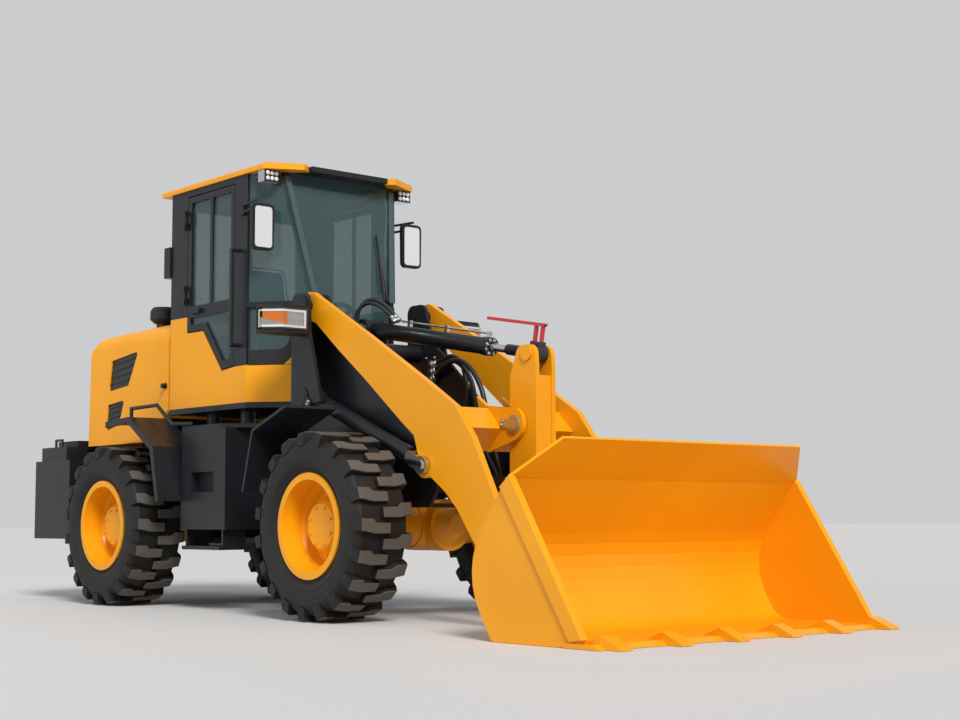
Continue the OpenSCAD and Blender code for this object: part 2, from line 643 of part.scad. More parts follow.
// side view of the space that the bucket holds
module bucket_room() polygon(outline(concat(bucket_inner, [[2700, 854], [2700, bucket_sheet]])));
module bucket() color(paint) difference() {
  union() {
    plate(-bucket_half + 20, bucket_half - 20) difference() {
      polygon(outline(concat(bucket_outer, [[floor_end, 852]])));
      bucket_room();
    }
    both() {
      plate(bucket_half - 30, bucket_half)
        polygon(outline(concat(bucket_outer, [[2627, 44], [2600, edge_thick], [floor_end, edge_thick]])));
      plate(bucket_half - 1, bucket_half + 15) polygon([[2032, 794], [2104, 852], [2627, 44], [2541, 32]]);
      for (y = [arm_inner - side_play - lug_thick, arm_outer + side_play])
        plate(y, y + lug_thick) difference() {
        shape([[1480, 240, 60], [1850, 180], [1870, 500], [1600, 400, 60]]);
        bucket_room();
      }
      plate(rocker_in, rocker_out) difference() {
        shape([[1530, 440, 60], [1860, 420], [1980, 690], [1540, 660, 100]]);
        bucket_room();
      }
    }
    translate([2094, 0, 842]) rotate([0, -45.6, 0]) linear_extrude(16)
      polygon([[0, -1164], [280, -960], [280, 960], [0, 1164]]);
  }
  both() across(hinge_x, hinge_z, arm_inner - 60, arm_outer + 60, pin_radius + pin_play);
}

module bucket_teeth() color(paint) {
  plate(-bucket_half - 12, bucket_half + 12) polygon([[floor_end, 0], [edge_front, 0],
    [edge_front - 40, edge_thick], [floor_end, edge_thick]]);
  for (i = [0:5]) translate([0, -1076 + i * 430.4, 0]) plate(-45, 45)
    polygon([[2580, 20], [2700, 66], [tooth_tip, 10], [tooth_tip, 0], [2700, 0]]);
}

module tilt_pin() color(chrome) across(tilt_base[0], tilt_base[1], -104, 104, 35);
module tilt_barrel() color(dark) along(tilt_base, tilt_eye) difference() {
  union() {
    across(0, 0, -eye_half, eye_half, 62);
    lengthwise(30, 1240, barrel_r);
    lengthwise(1210, 1284, gland_r);
  }
  across(0, 0, -70, 70, 35 + pin_play);
  lengthwise(700, 1290, rod_r + pin_play);
}
module tilt_rod() color(chrome) along(tilt_base, tilt_eye) {
  l = norm(tilt_eye - tilt_base);
  lengthwise(900, l - 50, rod_r);
  across(l, 0, -44, 44, 58);
  box([l - 40, -30, 20], [l + 40, 30, 74]);
}
// levelling rod on its guides along the tilt barrel
module level_rod() color(chrome) along(tilt_base, tilt_eye) {
  translate([0, 0, 84]) lengthwise(330, 1275, 8);
  for (u = [420, 820]) box([u - 14, -12, barrel_r + seal_gap], [u + 14, 12, 98]);
  box([1236, -12, gland_r + seal_gap], [1264, 12, 98]);
}
module level_indicator() color(red) along(tilt_base, tilt_eye) {
  l = norm(tilt_eye - tilt_base);
  for (u = [-36, 24]) box([l + u, -14, 74], [l + u + 12, 14, 180]);
  box([l - 490, -14, 179], [l + 54, 14, 190]);
}

module steer_frame(side) translate([steer_base[0], side * steer_base[1], steer_z])
  rotate([0, 0, atan2(side * (steer_eye[1] - steer_base[1]), steer_eye[0] - steer_base[0])]) children();
module steer_barrel(side) color(dark) steer_frame(side) difference() {
  union() {
    upright(0, 0, -36, 36, 42);
    lengthwise(25, 560, 38);
  }
  upright(0, 0, -50, 50, rod_r + pin_play);
  lengthwise(90, 561, 20 + pin_play);
}
module steer_rod(side) color(chrome) steer_frame(side) {
  l = norm(steer_eye - steer_base);
  lengthwise(330, l - 30, 20);
  upright(l, 0, -30, 30, 42);
}
module steer_barrel_right() steer_barrel(-1);
module steer_rod_right() steer_rod(-1);
module steer_barrel_left() steer_barrel(1);
module steer_rod_left() steer_rod(1);
module tyre_front_left() tyre(0, 1);
module tyre_front_right() tyre(0, -1);
module tyre_rear_left() tyre(-wheelbase, 1);
module tyre_rear_right() tyre(-wheelbase, -1);
module rim_front_left() rim(0, 1);
module rim_front_right() rim(0, -1);
module rim_rear_left() rim(-wheelbase, 1);
module rim_rear_right() rim(-wheelbase, -1);

translate([shift_x, 0, 0]) {
  rear_frame();
  rear_axle();
  engine();
  counterweight();
  tail_lamps();
  cab_floor();
  cab_pillars();
  cab_panels();
  cab_roof();
  roof_panel();
  cab_glass();
  seat();
  steering_column();
  steering_wheel();
  dash_panel();
  rear_fenders();
  platforms();
  handrails();
  mirrors();
  work_lights();
  hood();
  hood_grilles();
  intake_cap();
  door_right();
  door_right_glass();
  door_left();
  door_left_glass();
  front_frame();
  front_axle();
  front_fenders();
  headlamps();
  headlamp_lenses();
  boom();
  lift_barrels();
  lift_rods();
  rocker_pin();
  rocker();
  link_pin();
  bucket_link();
  bucket_pins();
  bucket();
  bucket_teeth();
  tilt_pin();
  tilt_barrel();
  tilt_rod();
  level_rod();
  level_indicator();
  steer_barrel_right();
  steer_rod_right();
  steer_barrel_left();
  steer_rod_left();
  tyre_front_left();
  rim_front_left();
  tyre_front_right();
  rim_front_right();
  tyre_rear_left();
  rim_rear_left();
  tyre_rear_right();
  rim_rear_right();
}
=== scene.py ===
# %% [markdown]
# # A compact articulated wheel loader
# The machine is already built as solids. This lesson loads those solids as a
# fixed frame, puts a camera where the photographer stood, and then gives every
# piece its finish: gloss paint, tinted glass, rubber, chrome and cloth. What the
# solids leave plain, such as tread, seat, hoses and lamps, is modelled here.

# %% Load the frame
import math

import bmesh
import bpy
from mathutils import Matrix, Vector


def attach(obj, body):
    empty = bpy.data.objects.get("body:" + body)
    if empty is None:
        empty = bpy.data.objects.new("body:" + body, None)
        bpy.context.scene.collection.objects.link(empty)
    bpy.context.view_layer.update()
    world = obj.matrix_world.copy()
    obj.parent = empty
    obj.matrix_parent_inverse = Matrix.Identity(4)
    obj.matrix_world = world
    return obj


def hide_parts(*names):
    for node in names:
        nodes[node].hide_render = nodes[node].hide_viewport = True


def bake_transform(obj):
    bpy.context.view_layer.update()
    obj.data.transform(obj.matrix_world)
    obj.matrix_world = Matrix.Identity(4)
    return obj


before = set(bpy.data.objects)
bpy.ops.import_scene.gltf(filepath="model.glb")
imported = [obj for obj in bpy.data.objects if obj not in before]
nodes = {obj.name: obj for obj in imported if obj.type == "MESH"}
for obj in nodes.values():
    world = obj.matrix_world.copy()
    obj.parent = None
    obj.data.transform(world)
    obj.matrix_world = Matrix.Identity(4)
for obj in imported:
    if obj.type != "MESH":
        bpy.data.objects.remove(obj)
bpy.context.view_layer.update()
SHIFT = 0.728  # front axle's station in the frame, in metres

# %% [markdown]
# ## Camera
# The view was solved from the wheels, the bucket's teeth and the paired lamps of
# the cab: the camera stands low, off the right front corner, and looks slightly
# up. A long lens keeps the near bucket from swelling.

# %% Camera
YAW, PITCH, ROLL = (math.radians(a) for a in (139.431, 5.538, -0.218))
forward = Vector((math.cos(YAW) * math.cos(PITCH), math.sin(YAW) * math.cos(PITCH), math.sin(PITCH)))
right = Vector((math.sin(YAW), -math.cos(YAW), 0))
up = right.cross(forward)
turn = Matrix((right, up, -forward)).transposed().to_4x4() @ Matrix.Rotation(ROLL, 4, "Z")
camera_data = bpy.data.cameras.new("camera")
camera_data.sensor_width = 36
camera_data.lens = 60.57
camera_data.clip_end = 200
camera = bpy.data.objects.new("camera", camera_data)
camera.matrix_world = Matrix.Translation((9.0401, -6.6836, 0.6418)) @ turn
bpy.context.scene.collection.objects.link(camera)
bpy.context.scene.camera = camera
print("camera at", tuple(round(v, 2) for v in camera.location))

# %% [markdown]
# ## Stage and light
# A pale floor that runs to the horizon and a pale world keep the machine's dark
# frame readable from all sides. A wide sun stands high before the machine, as
# through a thin cloud, and a large weak lamp fills the near side. The world is
# brighter where the camera, a reflection or glass looks at it than in the light
# it sheds, so it doesn't flood the paint.

# %% Stage and light
view_settings = bpy.context.scene.view_settings
view_settings.view_transform = "Standard"


def link(tree, *pairs):
    """Join sockets given as (from, to) pairs."""
    for a, b in pairs:
        tree.links.new(a, b)


def floor_material():
    mat = bpy.data.materials.new("studio_floor")
    mat.use_nodes = True
    tree = mat.node_tree
    shader = tree.nodes["Principled BSDF"]
    noise = tree.nodes.new("ShaderNodeTexNoise")
    noise.inputs["Scale"].default_value = 0.8
    ramp = tree.nodes.new("ShaderNodeMapRange")
    ramp.inputs["To Min"].default_value = 0.62
    ramp.inputs["To Max"].default_value = 0.68
    link(
        tree,
        (noise.outputs["Fac"], ramp.inputs["Value"]),
        (ramp.outputs["Result"], shader.inputs["Base Color"]),
    )
    shader.inputs["Roughness"].default_value = 0.75
    return mat


FLOOR_SPAN, FLOOR_LEVEL = 90.0, -0.002
floor_mesh = bpy.data.meshes.new("floor")
corners = [(x * FLOOR_SPAN, y * FLOOR_SPAN, FLOOR_LEVEL) for x, y in ((-1, -1), (1, -1), (1, 1), (-1, 1))]
floor_mesh.from_pydata(corners, [], [(0, 1, 2, 3)])
floor = bpy.data.objects.new("floor", floor_mesh)
floor_mesh.materials.append(floor_material())
bpy.context.scene.collection.objects.link(floor)

world = bpy.data.worlds.new("studio")
world.use_nodes = True
bpy.context.scene.world = world
sky = world.node_tree
sky_shader = sky.nodes["Background"]
light_path = sky.nodes.new("ShaderNodeLightPath")
seen = sky.nodes.new("ShaderNodeMix")
seen.data_type = "RGBA"
seen.inputs["A"].default_value = (0.50, 0.51, 0.53, 1)
seen.inputs["B"].default_value = (0.80, 0.81, 0.82, 1)
glossy_too, clear_too = (sky.nodes.new("ShaderNodeMath") for _ in range(2))
glossy_too.operation = clear_too.operation = "MAXIMUM"
link(
    sky,
    (light_path.outputs["Is Camera Ray"], glossy_too.inputs[0]),
    (light_path.outputs["Is Glossy Ray"], glossy_too.inputs[1]),
    (glossy_too.outputs[0], clear_too.inputs[0]),
    (light_path.outputs["Is Transmission Ray"], clear_too.inputs[1]),
    (clear_too.outputs[0], seen.inputs["Factor"]),
    (seen.outputs["Result"], sky_shader.inputs["Color"]),
)
sky_shader.inputs["Strength"].default_value = 0.75


def area_lamp(name, place, aim, size, power, colour=(1, 1, 1)):
    data = bpy.data.lights.new(name, "AREA")
    data.size, data.energy, data.color = size, power, colour
    lamp = bpy.data.objects.new(name, data)
    lamp.location = place
    lamp.rotation_euler = (Vector(aim) - Vector(place)).to_track_quat("-Z", "Y").to_euler()
    bpy.context.scene.collection.objects.link(lamp)
    return lamp


def sun_lamp(name, toward, strength, spread, colour=(1, 1, 1)):
    data = bpy.data.lights.new(name, "SUN")
    data.energy, data.angle, data.color = strength, math.radians(spread), colour
    lamp = bpy.data.objects.new(name, data)
    lamp.rotation_euler = Vector(toward).to_track_quat("-Z", "Y").to_euler()
    bpy.context.scene.collection.objects.link(lamp)
    return lamp


sun_lamp("key", (-0.78, 0.36, -0.72), 3.0, 18, (1.0, 0.97, 0.93))
area_lamp("fill", (-3.0, -11.0, 4.0), (0, 0, 1.2), 8.0, 260, (0.93, 0.96, 1.0))
print("stage ready")

# %% [markdown]
# ## Shared finishes
# A new machine is clean, but no panel is one flat colour: sprayed paint drifts a
# little in tone and gathers a film of dust low down and on what faces up. That
# is one node group, used by every material with its own amounts. A second group
# gives the fine ripple of sprayed paint, moulded plastic or rubber.

# %% Node groups


def new_group(name, inputs, outputs):
    """An empty shader group with named sockets: (name, type, default)."""
    tree = bpy.data.node_groups.new(name, "ShaderNodeTree")
    for label, kind, value in inputs:
        socket = tree.interface.new_socket(label, in_out="INPUT", socket_type=kind)
        socket.default_value = value
    for label, kind in outputs:
        tree.interface.new_socket(label, in_out="OUTPUT", socket_type=kind)
    return tree, tree.nodes.new("NodeGroupInput"), tree.nodes.new("NodeGroupOutput")


def math_node(tree, operation, a, b):
    node = tree.nodes.new("ShaderNodeMath")
    node.operation = operation
    node.use_clamp = operation == "MULTIPLY"
    for socket, value in zip(node.inputs, (a, b)):
        if isinstance(value, (int, float)):
            socket.default_value = value
        else:
            tree.links.new(value, socket)
    return node.outputs["Value"]


def noise_node(tree, place, scale, detail=3.0):
    node = tree.nodes.new("ShaderNodeTexNoise")
    node.inputs["Scale"].default_value = scale
    node.inputs["Detail"].default_value = detail
    tree.links.new(place, node.inputs["Vector"])
    return node.outputs["Fac"]


def ranged(tree, value, low, high, to_low, to_high):
    node = tree.nodes.new("ShaderNodeMapRange")
    tree.links.new(value, node.inputs["Value"])
    for label, number in (("From Min", low), ("From Max", high), ("To Min", to_low), ("To Max", to_high)):
        if isinstance(number, (int, float)):
            node.inputs[label].default_value = number
        else:
            tree.links.new(number, node.inputs[label])
    return node.outputs["Result"]


def film_group():
    tree, given, out = new_group(
        "tone_and_dust",
        [
            ("Colour", "NodeSocketColor", (0.8, 0.8, 0.8, 1)),
            ("Dust Colour", "NodeSocketColor", (0.24, 0.2, 0.16, 1)),
            ("Drift", "NodeSocketFloat", 0.05),
            ("Dust", "NodeSocketFloat", 0.2),
            ("Gloss", "NodeSocketFloat", 0.3),
        ],
        [("Colour", "NodeSocketColor"), ("Roughness", "NodeSocketFloat")],
    )
    place = tree.nodes.new("ShaderNodeTexCoord").outputs["Object"]
    split = tree.nodes.new("ShaderNodeSeparateXYZ")
    facing = tree.nodes.new("ShaderNodeSeparateXYZ")
    normal = tree.nodes.new("ShaderNodeTexCoord").outputs["Normal"]
    link(tree, (place, split.inputs["Vector"]), (normal, facing.inputs["Vector"]))
    low = ranged(tree, split.outputs["Z"], 0.0, 1.3, 1.0, 0.15)
    flat = ranged(tree, facing.outputs["Z"], 0.2, 1.0, 0.35, 1.0)
    patches = ranged(tree, noise_node(tree, place, 9.0, 6.0), 0.35, 0.75, 0.0, 1.0)
    mask = math_node(tree, "MULTIPLY", math_node(tree, "MULTIPLY", low, flat), patches)
    mask = math_node(tree, "MULTIPLY", mask, given.outputs["Dust"])
    darkest, lightest = (math_node(tree, sign, 1.0, given.outputs["Drift"]) for sign in ("SUBTRACT", "ADD"))
    tone = ranged(tree, noise_node(tree, place, 1.6, 2.0), 0.3, 0.7, darkest, lightest)
    scale = tree.nodes.new("ShaderNodeVectorMath")
    scale.operation = "SCALE"
    blend = tree.nodes.new("ShaderNodeMix")
    blend.data_type = "RGBA"
    streak = ranged(tree, noise_node(tree, place, 26.0, 4.0), 0.3, 0.7, -0.03, 0.05)
    rough = math_node(tree, "ADD", given.outputs["Gloss"], streak)
    rough = math_node(tree, "ADD", rough, math_node(tree, "MULTIPLY", mask, 0.4))
    link(
        tree,
        (given.outputs["Colour"], scale.inputs["Vector"]),
        (tone, scale.inputs["Scale"]),
        (scale.outputs["Vector"], blend.inputs["A"]),
        (given.outputs["Dust Colour"], blend.inputs["B"]),
        (mask, blend.inputs["Factor"]),
        (blend.outputs["Result"], out.inputs["Colour"]),
        (rough, out.inputs["Roughness"]),
    )
    return tree


def ripple_group():
    tree, given, out = new_group(
        "surface_ripple",
        [
            ("Fine Scale", "NodeSocketFloat", 300.0),
            ("Broad Scale", "NodeSocketFloat", 30.0),
            ("Mix", "NodeSocketFloat", 0.4),
        ],
        [("Height", "NodeSocketFloat")],
    )
    place = tree.nodes.new("ShaderNodeTexCoord").outputs["Object"]
    fine, broad = (tree.nodes.new("ShaderNodeTexNoise") for _ in range(2))
    blend = tree.nodes.new("ShaderNodeMix")
    link(
        tree,
        (place, fine.inputs["Vector"]),
        (place, broad.inputs["Vector"]),
        (given.outputs["Fine Scale"], fine.inputs["Scale"]),
        (given.outputs["Broad Scale"], broad.inputs["Scale"]),
        (given.outputs["Mix"], blend.inputs["Factor"]),
        (fine.outputs["Fac"], blend.inputs["A"]),
        (broad.outputs["Fac"], blend.inputs["B"]),
        (blend.outputs["Result"], out.inputs["Height"]),
    )
    return tree


FILM, RIPPLE = film_group(), ripple_group()
print("groups", FILM.name, RIPPLE.name)

# %% [markdown]
# ## The palette
# Every finish is the same Principled shader fed by the two groups; the numbers
# make the difference. Paint keeps a clear coat, rubber is rough, the lug tops
# are painted a lighter brown as a painted highlight, and chrome is bare metal.

# %% Materials


def finish(
    name, colour, gloss, drift=0.04, dust=0.15, metal=0.0, coat=0.0,
    fine=350.0, broad=40.0, mix=0.3, bump=0.02, specular=0.5,
):
    """A material: colour and gloss with drift and dust, then fine and broad ripple, their mix and height."""
    mat = bpy.data.materials.new(name)
    mat.use_nodes = True
    tree = mat.node_tree
    shader = tree.nodes["Principled BSDF"]
    film, ripple = (tree.nodes.new("ShaderNodeGroup") for _ in range(2))
    film.node_tree, ripple.node_tree = FILM, RIPPLE
    film.inputs["Colour"].default_value = (*colour, 1)
    film.inputs["Drift"].default_value = drift
    film.inputs["Dust"].default_value = dust
    film.inputs["Gloss"].default_value = gloss
    ripple.inputs["Fine Scale"].default_value = fine
    ripple.inputs["Broad Scale"].default_value = broad
    ripple.inputs["Mix"].default_value = mix
    relief = tree.nodes.new("ShaderNodeBump")
    relief.inputs["Strength"].default_value = bump
    relief.inputs["Distance"].default_value = 0.002
    link(
        tree,
        (film.outputs["Colour"], shader.inputs["Base Color"]),
        (film.outputs["Roughness"], shader.inputs["Roughness"]),
        (ripple.outputs["Height"], relief.inputs["Height"]),
        (relief.outputs["Normal"], shader.inputs["Normal"]),
    )
    shader.inputs["Metallic"].default_value = metal
    shader.inputs["Coat Weight"].default_value = coat
    shader.inputs["Coat Roughness"].default_value = 0.08
    shader.inputs["Specular IOR Level"].default_value = specular
    return mat


def glazing(name, colour, alpha):
    mat = finish(name, colour, 0.05, 0.06, 0.02, 0.0, 0.3, 4.0, 1.0, 0.5, 0.01)
    shader = mat.node_tree.nodes["Principled BSDF"]
    shader.inputs["Alpha"].default_value = alpha
    shader.inputs["Specular IOR Level"].default_value = 0.8
    return mat


def glowing(name, colour, strength):
    mat = finish(name, colour, 0.15, 0.1, 0.02, 0.0, 1.0, 120.0, 60.0, 0.5, 0.1)
    shader = mat.node_tree.nodes["Principled BSDF"]
    shader.inputs["Emission Color"].default_value = (*colour, 1)
    shader.inputs["Emission Strength"].default_value = strength
    return mat


yellow = finish("yellow_gloss_paint", (0.86, 0.350, 0.004), 0.36, 0.05, 0.02, 0, 0.12, specular=0.25)
graphite = finish("graphite_gloss_paint", (0.010, 0.011, 0.014), 0.34, 0.10, 0.03, 0, 0.08, specular=0.3)
black_satin = finish("black_satin_paint", (0.010, 0.010, 0.011), 0.38, 0.10, 0.04, 0, 0.1, specular=0.35)
plastic = finish(
    "moulded_black_plastic", (0.011, 0.011, 0.012), 0.48, 0.10, 0.05, 0, 0, 700, 120, 0.4, 0.12, specular=0.35
)
sidewall = finish(
    "sidewall_rubber", (0.009, 0.0085, 0.0082), 0.55, 0.15, 0.08, 0, 0, 500, 60, 0.5, 0.12, specular=0.3
)
# Lug tops: rubber painted lighter and browner than the sidewall, a painted highlight where light catches them,
# with a film of dust over it.
tread = finish("tread_rubber_painted_highlight", (0.085, 0.074, 0.064), 0.75, 0.20, 0.30, 0, 0, 420, 45, 0.5, 0.25, specular=0.3)
chrome = finish("chromed_rod", (0.62, 0.63, 0.65), 0.14, 0.03, 0.05, 1.0, 0, 900, 20, 0.2, 0.01)
zinc = finish("zinc_plated_pin", (0.46, 0.46, 0.47), 0.33, 0.10, 0.10, 1.0, 0, 600, 50, 0.4, 0.05)
red = finish("red_gloss_paint", (0.50, 0.012, 0.022), 0.32, 0.06, 0.05, 0, 0.5)
cloth = finish("seat_cloth", (0.035, 0.036, 0.04), 0.85, 0.12, 0.1, 0, 0, 1400, 300, 0.5, 0.4)
glass = glazing("tinted_glass", (0.050, 0.105, 0.115), 0.46)
print("materials", len(bpy.data.materials))

# %% [markdown]
# ## Paint on the solids
# Every solid of the frame gets one finish. The cell prints the solids that were
# left out, so that a new one isn't missed.

# %% Paint the solids
PAINT = {
    yellow: "rear_axle front_axle cab_panels cab_roof hood boom rocker bucket_link bucket bucket_teeth".split()
    + [n for n in nodes if n.startswith("rim_")],
    graphite: "rear_frame engine counterweight cab_floor cab_pillars platforms rear_fenders front_frame "
    "front_fenders door_right door_left tilt_barrel lift_barrels steer_barrel_right steer_barrel_left".split(),
    glass: "cab_glass door_right_glass door_left_glass".split(),
    plastic: "roof_panel dash_panel steering_column steering_wheel mirrors headlamps intake_cap".split(),
    black_satin: "handrails hood_grilles".split(),
    cloth: ["seat"],
    chrome: "lift_rods tilt_rod level_rod steer_rod_right steer_rod_left work_lights headlamp_lenses".split(),
    zinc: "rocker_pin link_pin bucket_pins tilt_pin".split(),
    red: "level_indicator tail_lamps".split(),
    sidewall: [n for n in nodes if n.startswith("tyre_")],
}
for mat, names in PAINT.items():
    for name in names:
        nodes[name].data.materials.clear()
        nodes[name].data.materials.append(mat)
missing = set(nodes) - {n for names in PAINT.values() for n in names}
print("unpainted nodes", sorted(missing))

# %% [markdown]
# ## Tyres
# A loader tyre carries two rows of deep lugs, half a pitch apart. Each lug is
# wide at the shoulder, steps sideways towards the middle and runs down onto the
# sidewall. One lug is drawn flat as three outlines, from foot to top, wrapped
# round the wheel's axis and repeated; the carcass is a turned profile with the
# moulded rings of a sidewall. The lug tops are painted lighter and browner than
# the sidewall, a painted highlight where light catches them.

# %% Tyres
TYRE_R, TYRE_HALF, LUG_DEPTH, LUG_WIDE, LUG_COUNT = 0.5875, 0.205, 0.040, 0.070, 19
HALF_TRACK, WHEELBASE = 0.796, 2.69


def add_piece(name, mesh, body, slot, *materials):
    """Put a mesh into the scene as a piece of a body, with its finish."""
    piece = bpy.data.objects.new(name, mesh)
    for mat in materials:
        mesh.materials.append(mat)
    bpy.context.scene.collection.objects.link(piece)
    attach(piece, body)
    return piece


def shade_smooth(mesh, angle=35):
    mesh.polygons.foreach_set("use_smooth", [True] * len(mesh.polygons))
    bm = bmesh.new()
    bm.from_mesh(mesh)
    for edge in bm.edges:
        if len(edge.link_faces) == 2 and edge.calc_face_angle() > math.radians(angle):
            edge.smooth = False
    bm.to_mesh(mesh)
    bm.free()


def turned(profile, steps):
    """Vertices and faces of a closed (radius, across) profile turned about the Y axis."""
    points, faces, n = [], [], len(profile)
    for k in range(steps):
        c, s = math.cos(2 * math.pi * k / steps), math.sin(2 * math.pi * k / steps)
        points += [(r * c, a, -r * s) for r, a in profile]
        for i in range(n):
            j = (i + 1) % n
            k2 = (k + 1) % steps
            faces.append((k * n + i, k2 * n + i, k2 * n + j, k * n + j))
    return points, faces


def lug_rings():
    """Outlines (across, along, radius) of one lug at its foot, at its shoulder line and on top."""
    w = LUG_WIDE / 2
    plan = [
        (TYRE_HALF - 0.002, -w - 0.015),
        (0.110, -w - 0.013),
        (0.082, 0.013 - w),
        (-0.028, 0.016 - w),
        (-0.028, w + 0.010),
        (0.090, w + 0.012),
        (TYRE_HALF - 0.002, w - 0.008),
    ]
    middle, shoulder = 0.1, 0.15
    levels = ((0.500, 1.05, 0.0), (0.545, 1.02, 0.0), (TYRE_R - 0.006, 0.97, 0.010), (TYRE_R, 0.92, 0.020))
    rings = []
    for radius, grow, inset in levels:
        ring = []
        for across, along in plan:
            a = min(middle + (across - middle) * grow, TYRE_HALF - 0.001)
            ring.append((a - (inset if across > shoulder else 0), along * grow, radius))
        rings.append(ring)
    return rings


def tyre_mesh(name):
    base = TYRE_R - LUG_DEPTH
    half = [
        (0.303, 0.160), (0.318, 0.166), (0.345, 0.166), (0.352, 0.172), (0.362, 0.182),
        (0.368, 0.184), (0.374, 0.190), (0.392, 0.198), (0.398, 0.2015), (0.404, 0.199),
        (0.430, 0.204), (0.452, 0.205), (0.458, 0.2035), (0.463, 0.205), (0.490, 0.202),
        (0.510, 0.194), (0.530, 0.180), (0.546, 0.160), (base, 0.130), (base + 0.003, 0.060),
    ]
    profile = half + [(r, -a) for r, a in reversed(half)]
    points, faces = turned(profile, 120)
    # Material 0 is the sidewall rubber; 1, on the lug tops, is the lighter tread rubber, a painted highlight.
    kinds = [0] * len(faces)
    rings = lug_rings()
    n = len(rings[0])
    for row in (1, -1):
        for k in range(LUG_COUNT):
            start = 2 * math.pi * (k + (0.5 if row < 0 else 0)) / LUG_COUNT
            first = len(points)
            for ring in rings:
                for across, along, radius in ring:
                    angle = start + along / TYRE_R
                    points.append((radius * math.cos(angle), row * across, -radius * math.sin(angle)))
            for level in range(len(rings) - 1):
                for i in range(n):
                    a, b = first + level * n + i, first + level * n + (i + 1) % n
                    quad = (a, b, b + n, a + n)
                    faces.append(quad if row < 0 else quad[::-1])
                    kinds.append(1 if level == 2 else 0)
            top = tuple(first + (len(rings) - 1) * n + i for i in range(n))
            faces.append(top if row < 0 else top[::-1])
            kinds.append(1)
    mesh = bpy.data.meshes.new(name)
    mesh.from_pydata(points, [], faces)
    mesh.polygons.foreach_set("material_index", kinds)
    shade_smooth(mesh, 28)
    return mesh


for end, x in (("front", SHIFT), ("rear", SHIFT - WHEELBASE)):
    for hand, side in (("left", 1), ("right", -1)):
        mesh = tyre_mesh(f"tread_{end}_{hand}")
        flip = Matrix.Translation((x, side * HALF_TRACK, TYRE_R)) @ Matrix.Diagonal((1, side, 1, 1))
        mesh.transform(flip)
        if side < 0:
            mesh.flip_normals()
        tyre = add_piece(f"tread_{end}_{hand}", mesh, f"wheel_{end}_{hand}", "tyre_rubber", sidewall, tread)
        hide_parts(f"tyre_{end}_{hand}")
print("tyre faces", len(mesh.polygons))

# %% [markdown]
# ## Small shapes
# The details that follow are made from a few shapes: a bevelled block, a turned
# body, a tube swept along a smooth line, a bolt head and a skin stretched from
# ring to ring of points. Each is added to one open mesh with a material number,
# so a finished detail is a single piece.
# Places are written in millimetres from the front axle, as on the drawings.

# %% Small shapes


def st(x, y, z):
    """A point of the drawings, in millimetres from the front axle, as a place in the frame."""
    return Vector((x / 1000 + SHIFT, y / 1000, z / 1000))


def settle(bm, made, kind, turn=None):
    """Give new vertices their place and their faces a material number."""
    if turn is not None:
        bmesh.ops.transform(bm, matrix=turn, verts=made)
    for face in {f for v in made for f in v.link_faces}:
        face.material_index = kind


def add_block(bm, low, high, kind=0, bevel=0.004, turn=None):
    made = bmesh.ops.create_cube(bm, size=1.0)["verts"]
    low, high = Vector(low), Vector(high)
    for v in made:
        v.co = Vector((low[i] if v.co[i] < 0 else high[i] for i in range(3)))
    edges = list({e for v in made for e in v.link_edges})
    out = bmesh.ops.bevel(bm, geom=edges, offset=bevel, segments=2, profile=0.7, affect="EDGES")
    settle(bm, list({v for f in out["faces"] for v in f.verts} | {v for v in made if v.is_valid}), kind, turn)


def strip(bm, one, two, kind=0):
    """Quads between two closed rings of as many points."""
    for i in range(len(one)):
        j = (i + 1) % len(one)
        bm.faces.new((one[i], one[j], two[j], two[i])).material_index = kind


def skin(bm, rings, kind=0):
    """A closed body over a row of rings, with a flat face on both ends."""
    for ring in (rings[0][::-1], rings[-1]):
        bm.faces.new(ring).material_index = kind
    for one, two in zip(rings, rings[1:]):
        strip(bm, one, two, kind)


def facing(place, axis):
    """The turn and shift that lay a shape's own upward axis along an axis at a place."""
    return Matrix.Translation(place) @ Vector(axis).to_track_quat("Z", "Y").to_matrix().to_4x4()


def add_turned(bm, profile, place, axis, kind=0, steps=28):
    """Turn an open (radius, along) profile about an axis through a place; its ends are closed."""
    turn = facing(place, axis)
    angles = [2 * math.pi * k / steps for k in range(steps)]
    rings = []
    for r, a in profile:
        rings.append([bm.verts.new(turn @ Vector((r * math.cos(t), r * math.sin(t), a))) for t in angles])
    skin(bm, rings, kind)


def smooth_line(points, steps=8):
    """A curve through the points, as closely spaced places."""
    line = []
    for i in range(len(points) - 1):
        a, b, c, d = (points[min(max(i + k, 0), len(points) - 1)] for k in (-1, 0, 1, 2))
        square, cube = 2 * a - 5 * b + 4 * c - d, 3 * b - a - 3 * c + d
        for t in (k / steps for k in range(steps)):
            line.append(0.5 * (2 * b + (c - a) * t + square * t**2 + cube * t**3))
    return line + [points[-1]]


def add_tube(bm, line, radius, kind=0, sides=12):
    """Sweep a round section along a line, without twist."""
    side = (line[1] - line[0]).orthogonal().normalized()
    angles = [2 * math.pi * k / sides for k in range(sides)]
    rings = []
    for i, p in enumerate(line):
        ahead = (line[min(i + 1, len(line) - 1)] - line[max(i - 1, 0)]).normalized()
        side = (side - ahead * side.dot(ahead)).normalized()
        other = ahead.cross(side)
        rings.append([bm.verts.new(p + radius * (side * math.cos(t) + other * math.sin(t))) for t in angles])
    skin(bm, rings, kind)


def add_bolt(bm, place, axis, size=0.012, kind=0):
    """A hexagon head on a washer, standing along its axis."""
    add_turned(bm, [(size * 1.5, -0.001), (size * 1.5, 0.002), (size * 1.4, 0.003)], place, axis, kind, 20)
    add_turned(bm, [(size, 0.003), (size, 0.009), (size * 0.85, 0.011)], place, axis, kind, 6)


def mesh_of(bm, name, angle=35):
    bmesh.ops.recalc_face_normals(bm, faces=bm.faces)
    mesh = bpy.data.meshes.new(name)
    bm.to_mesh(mesh)
    bm.free()
    shade_smooth(mesh, angle)
    return mesh


print("shapes ready")

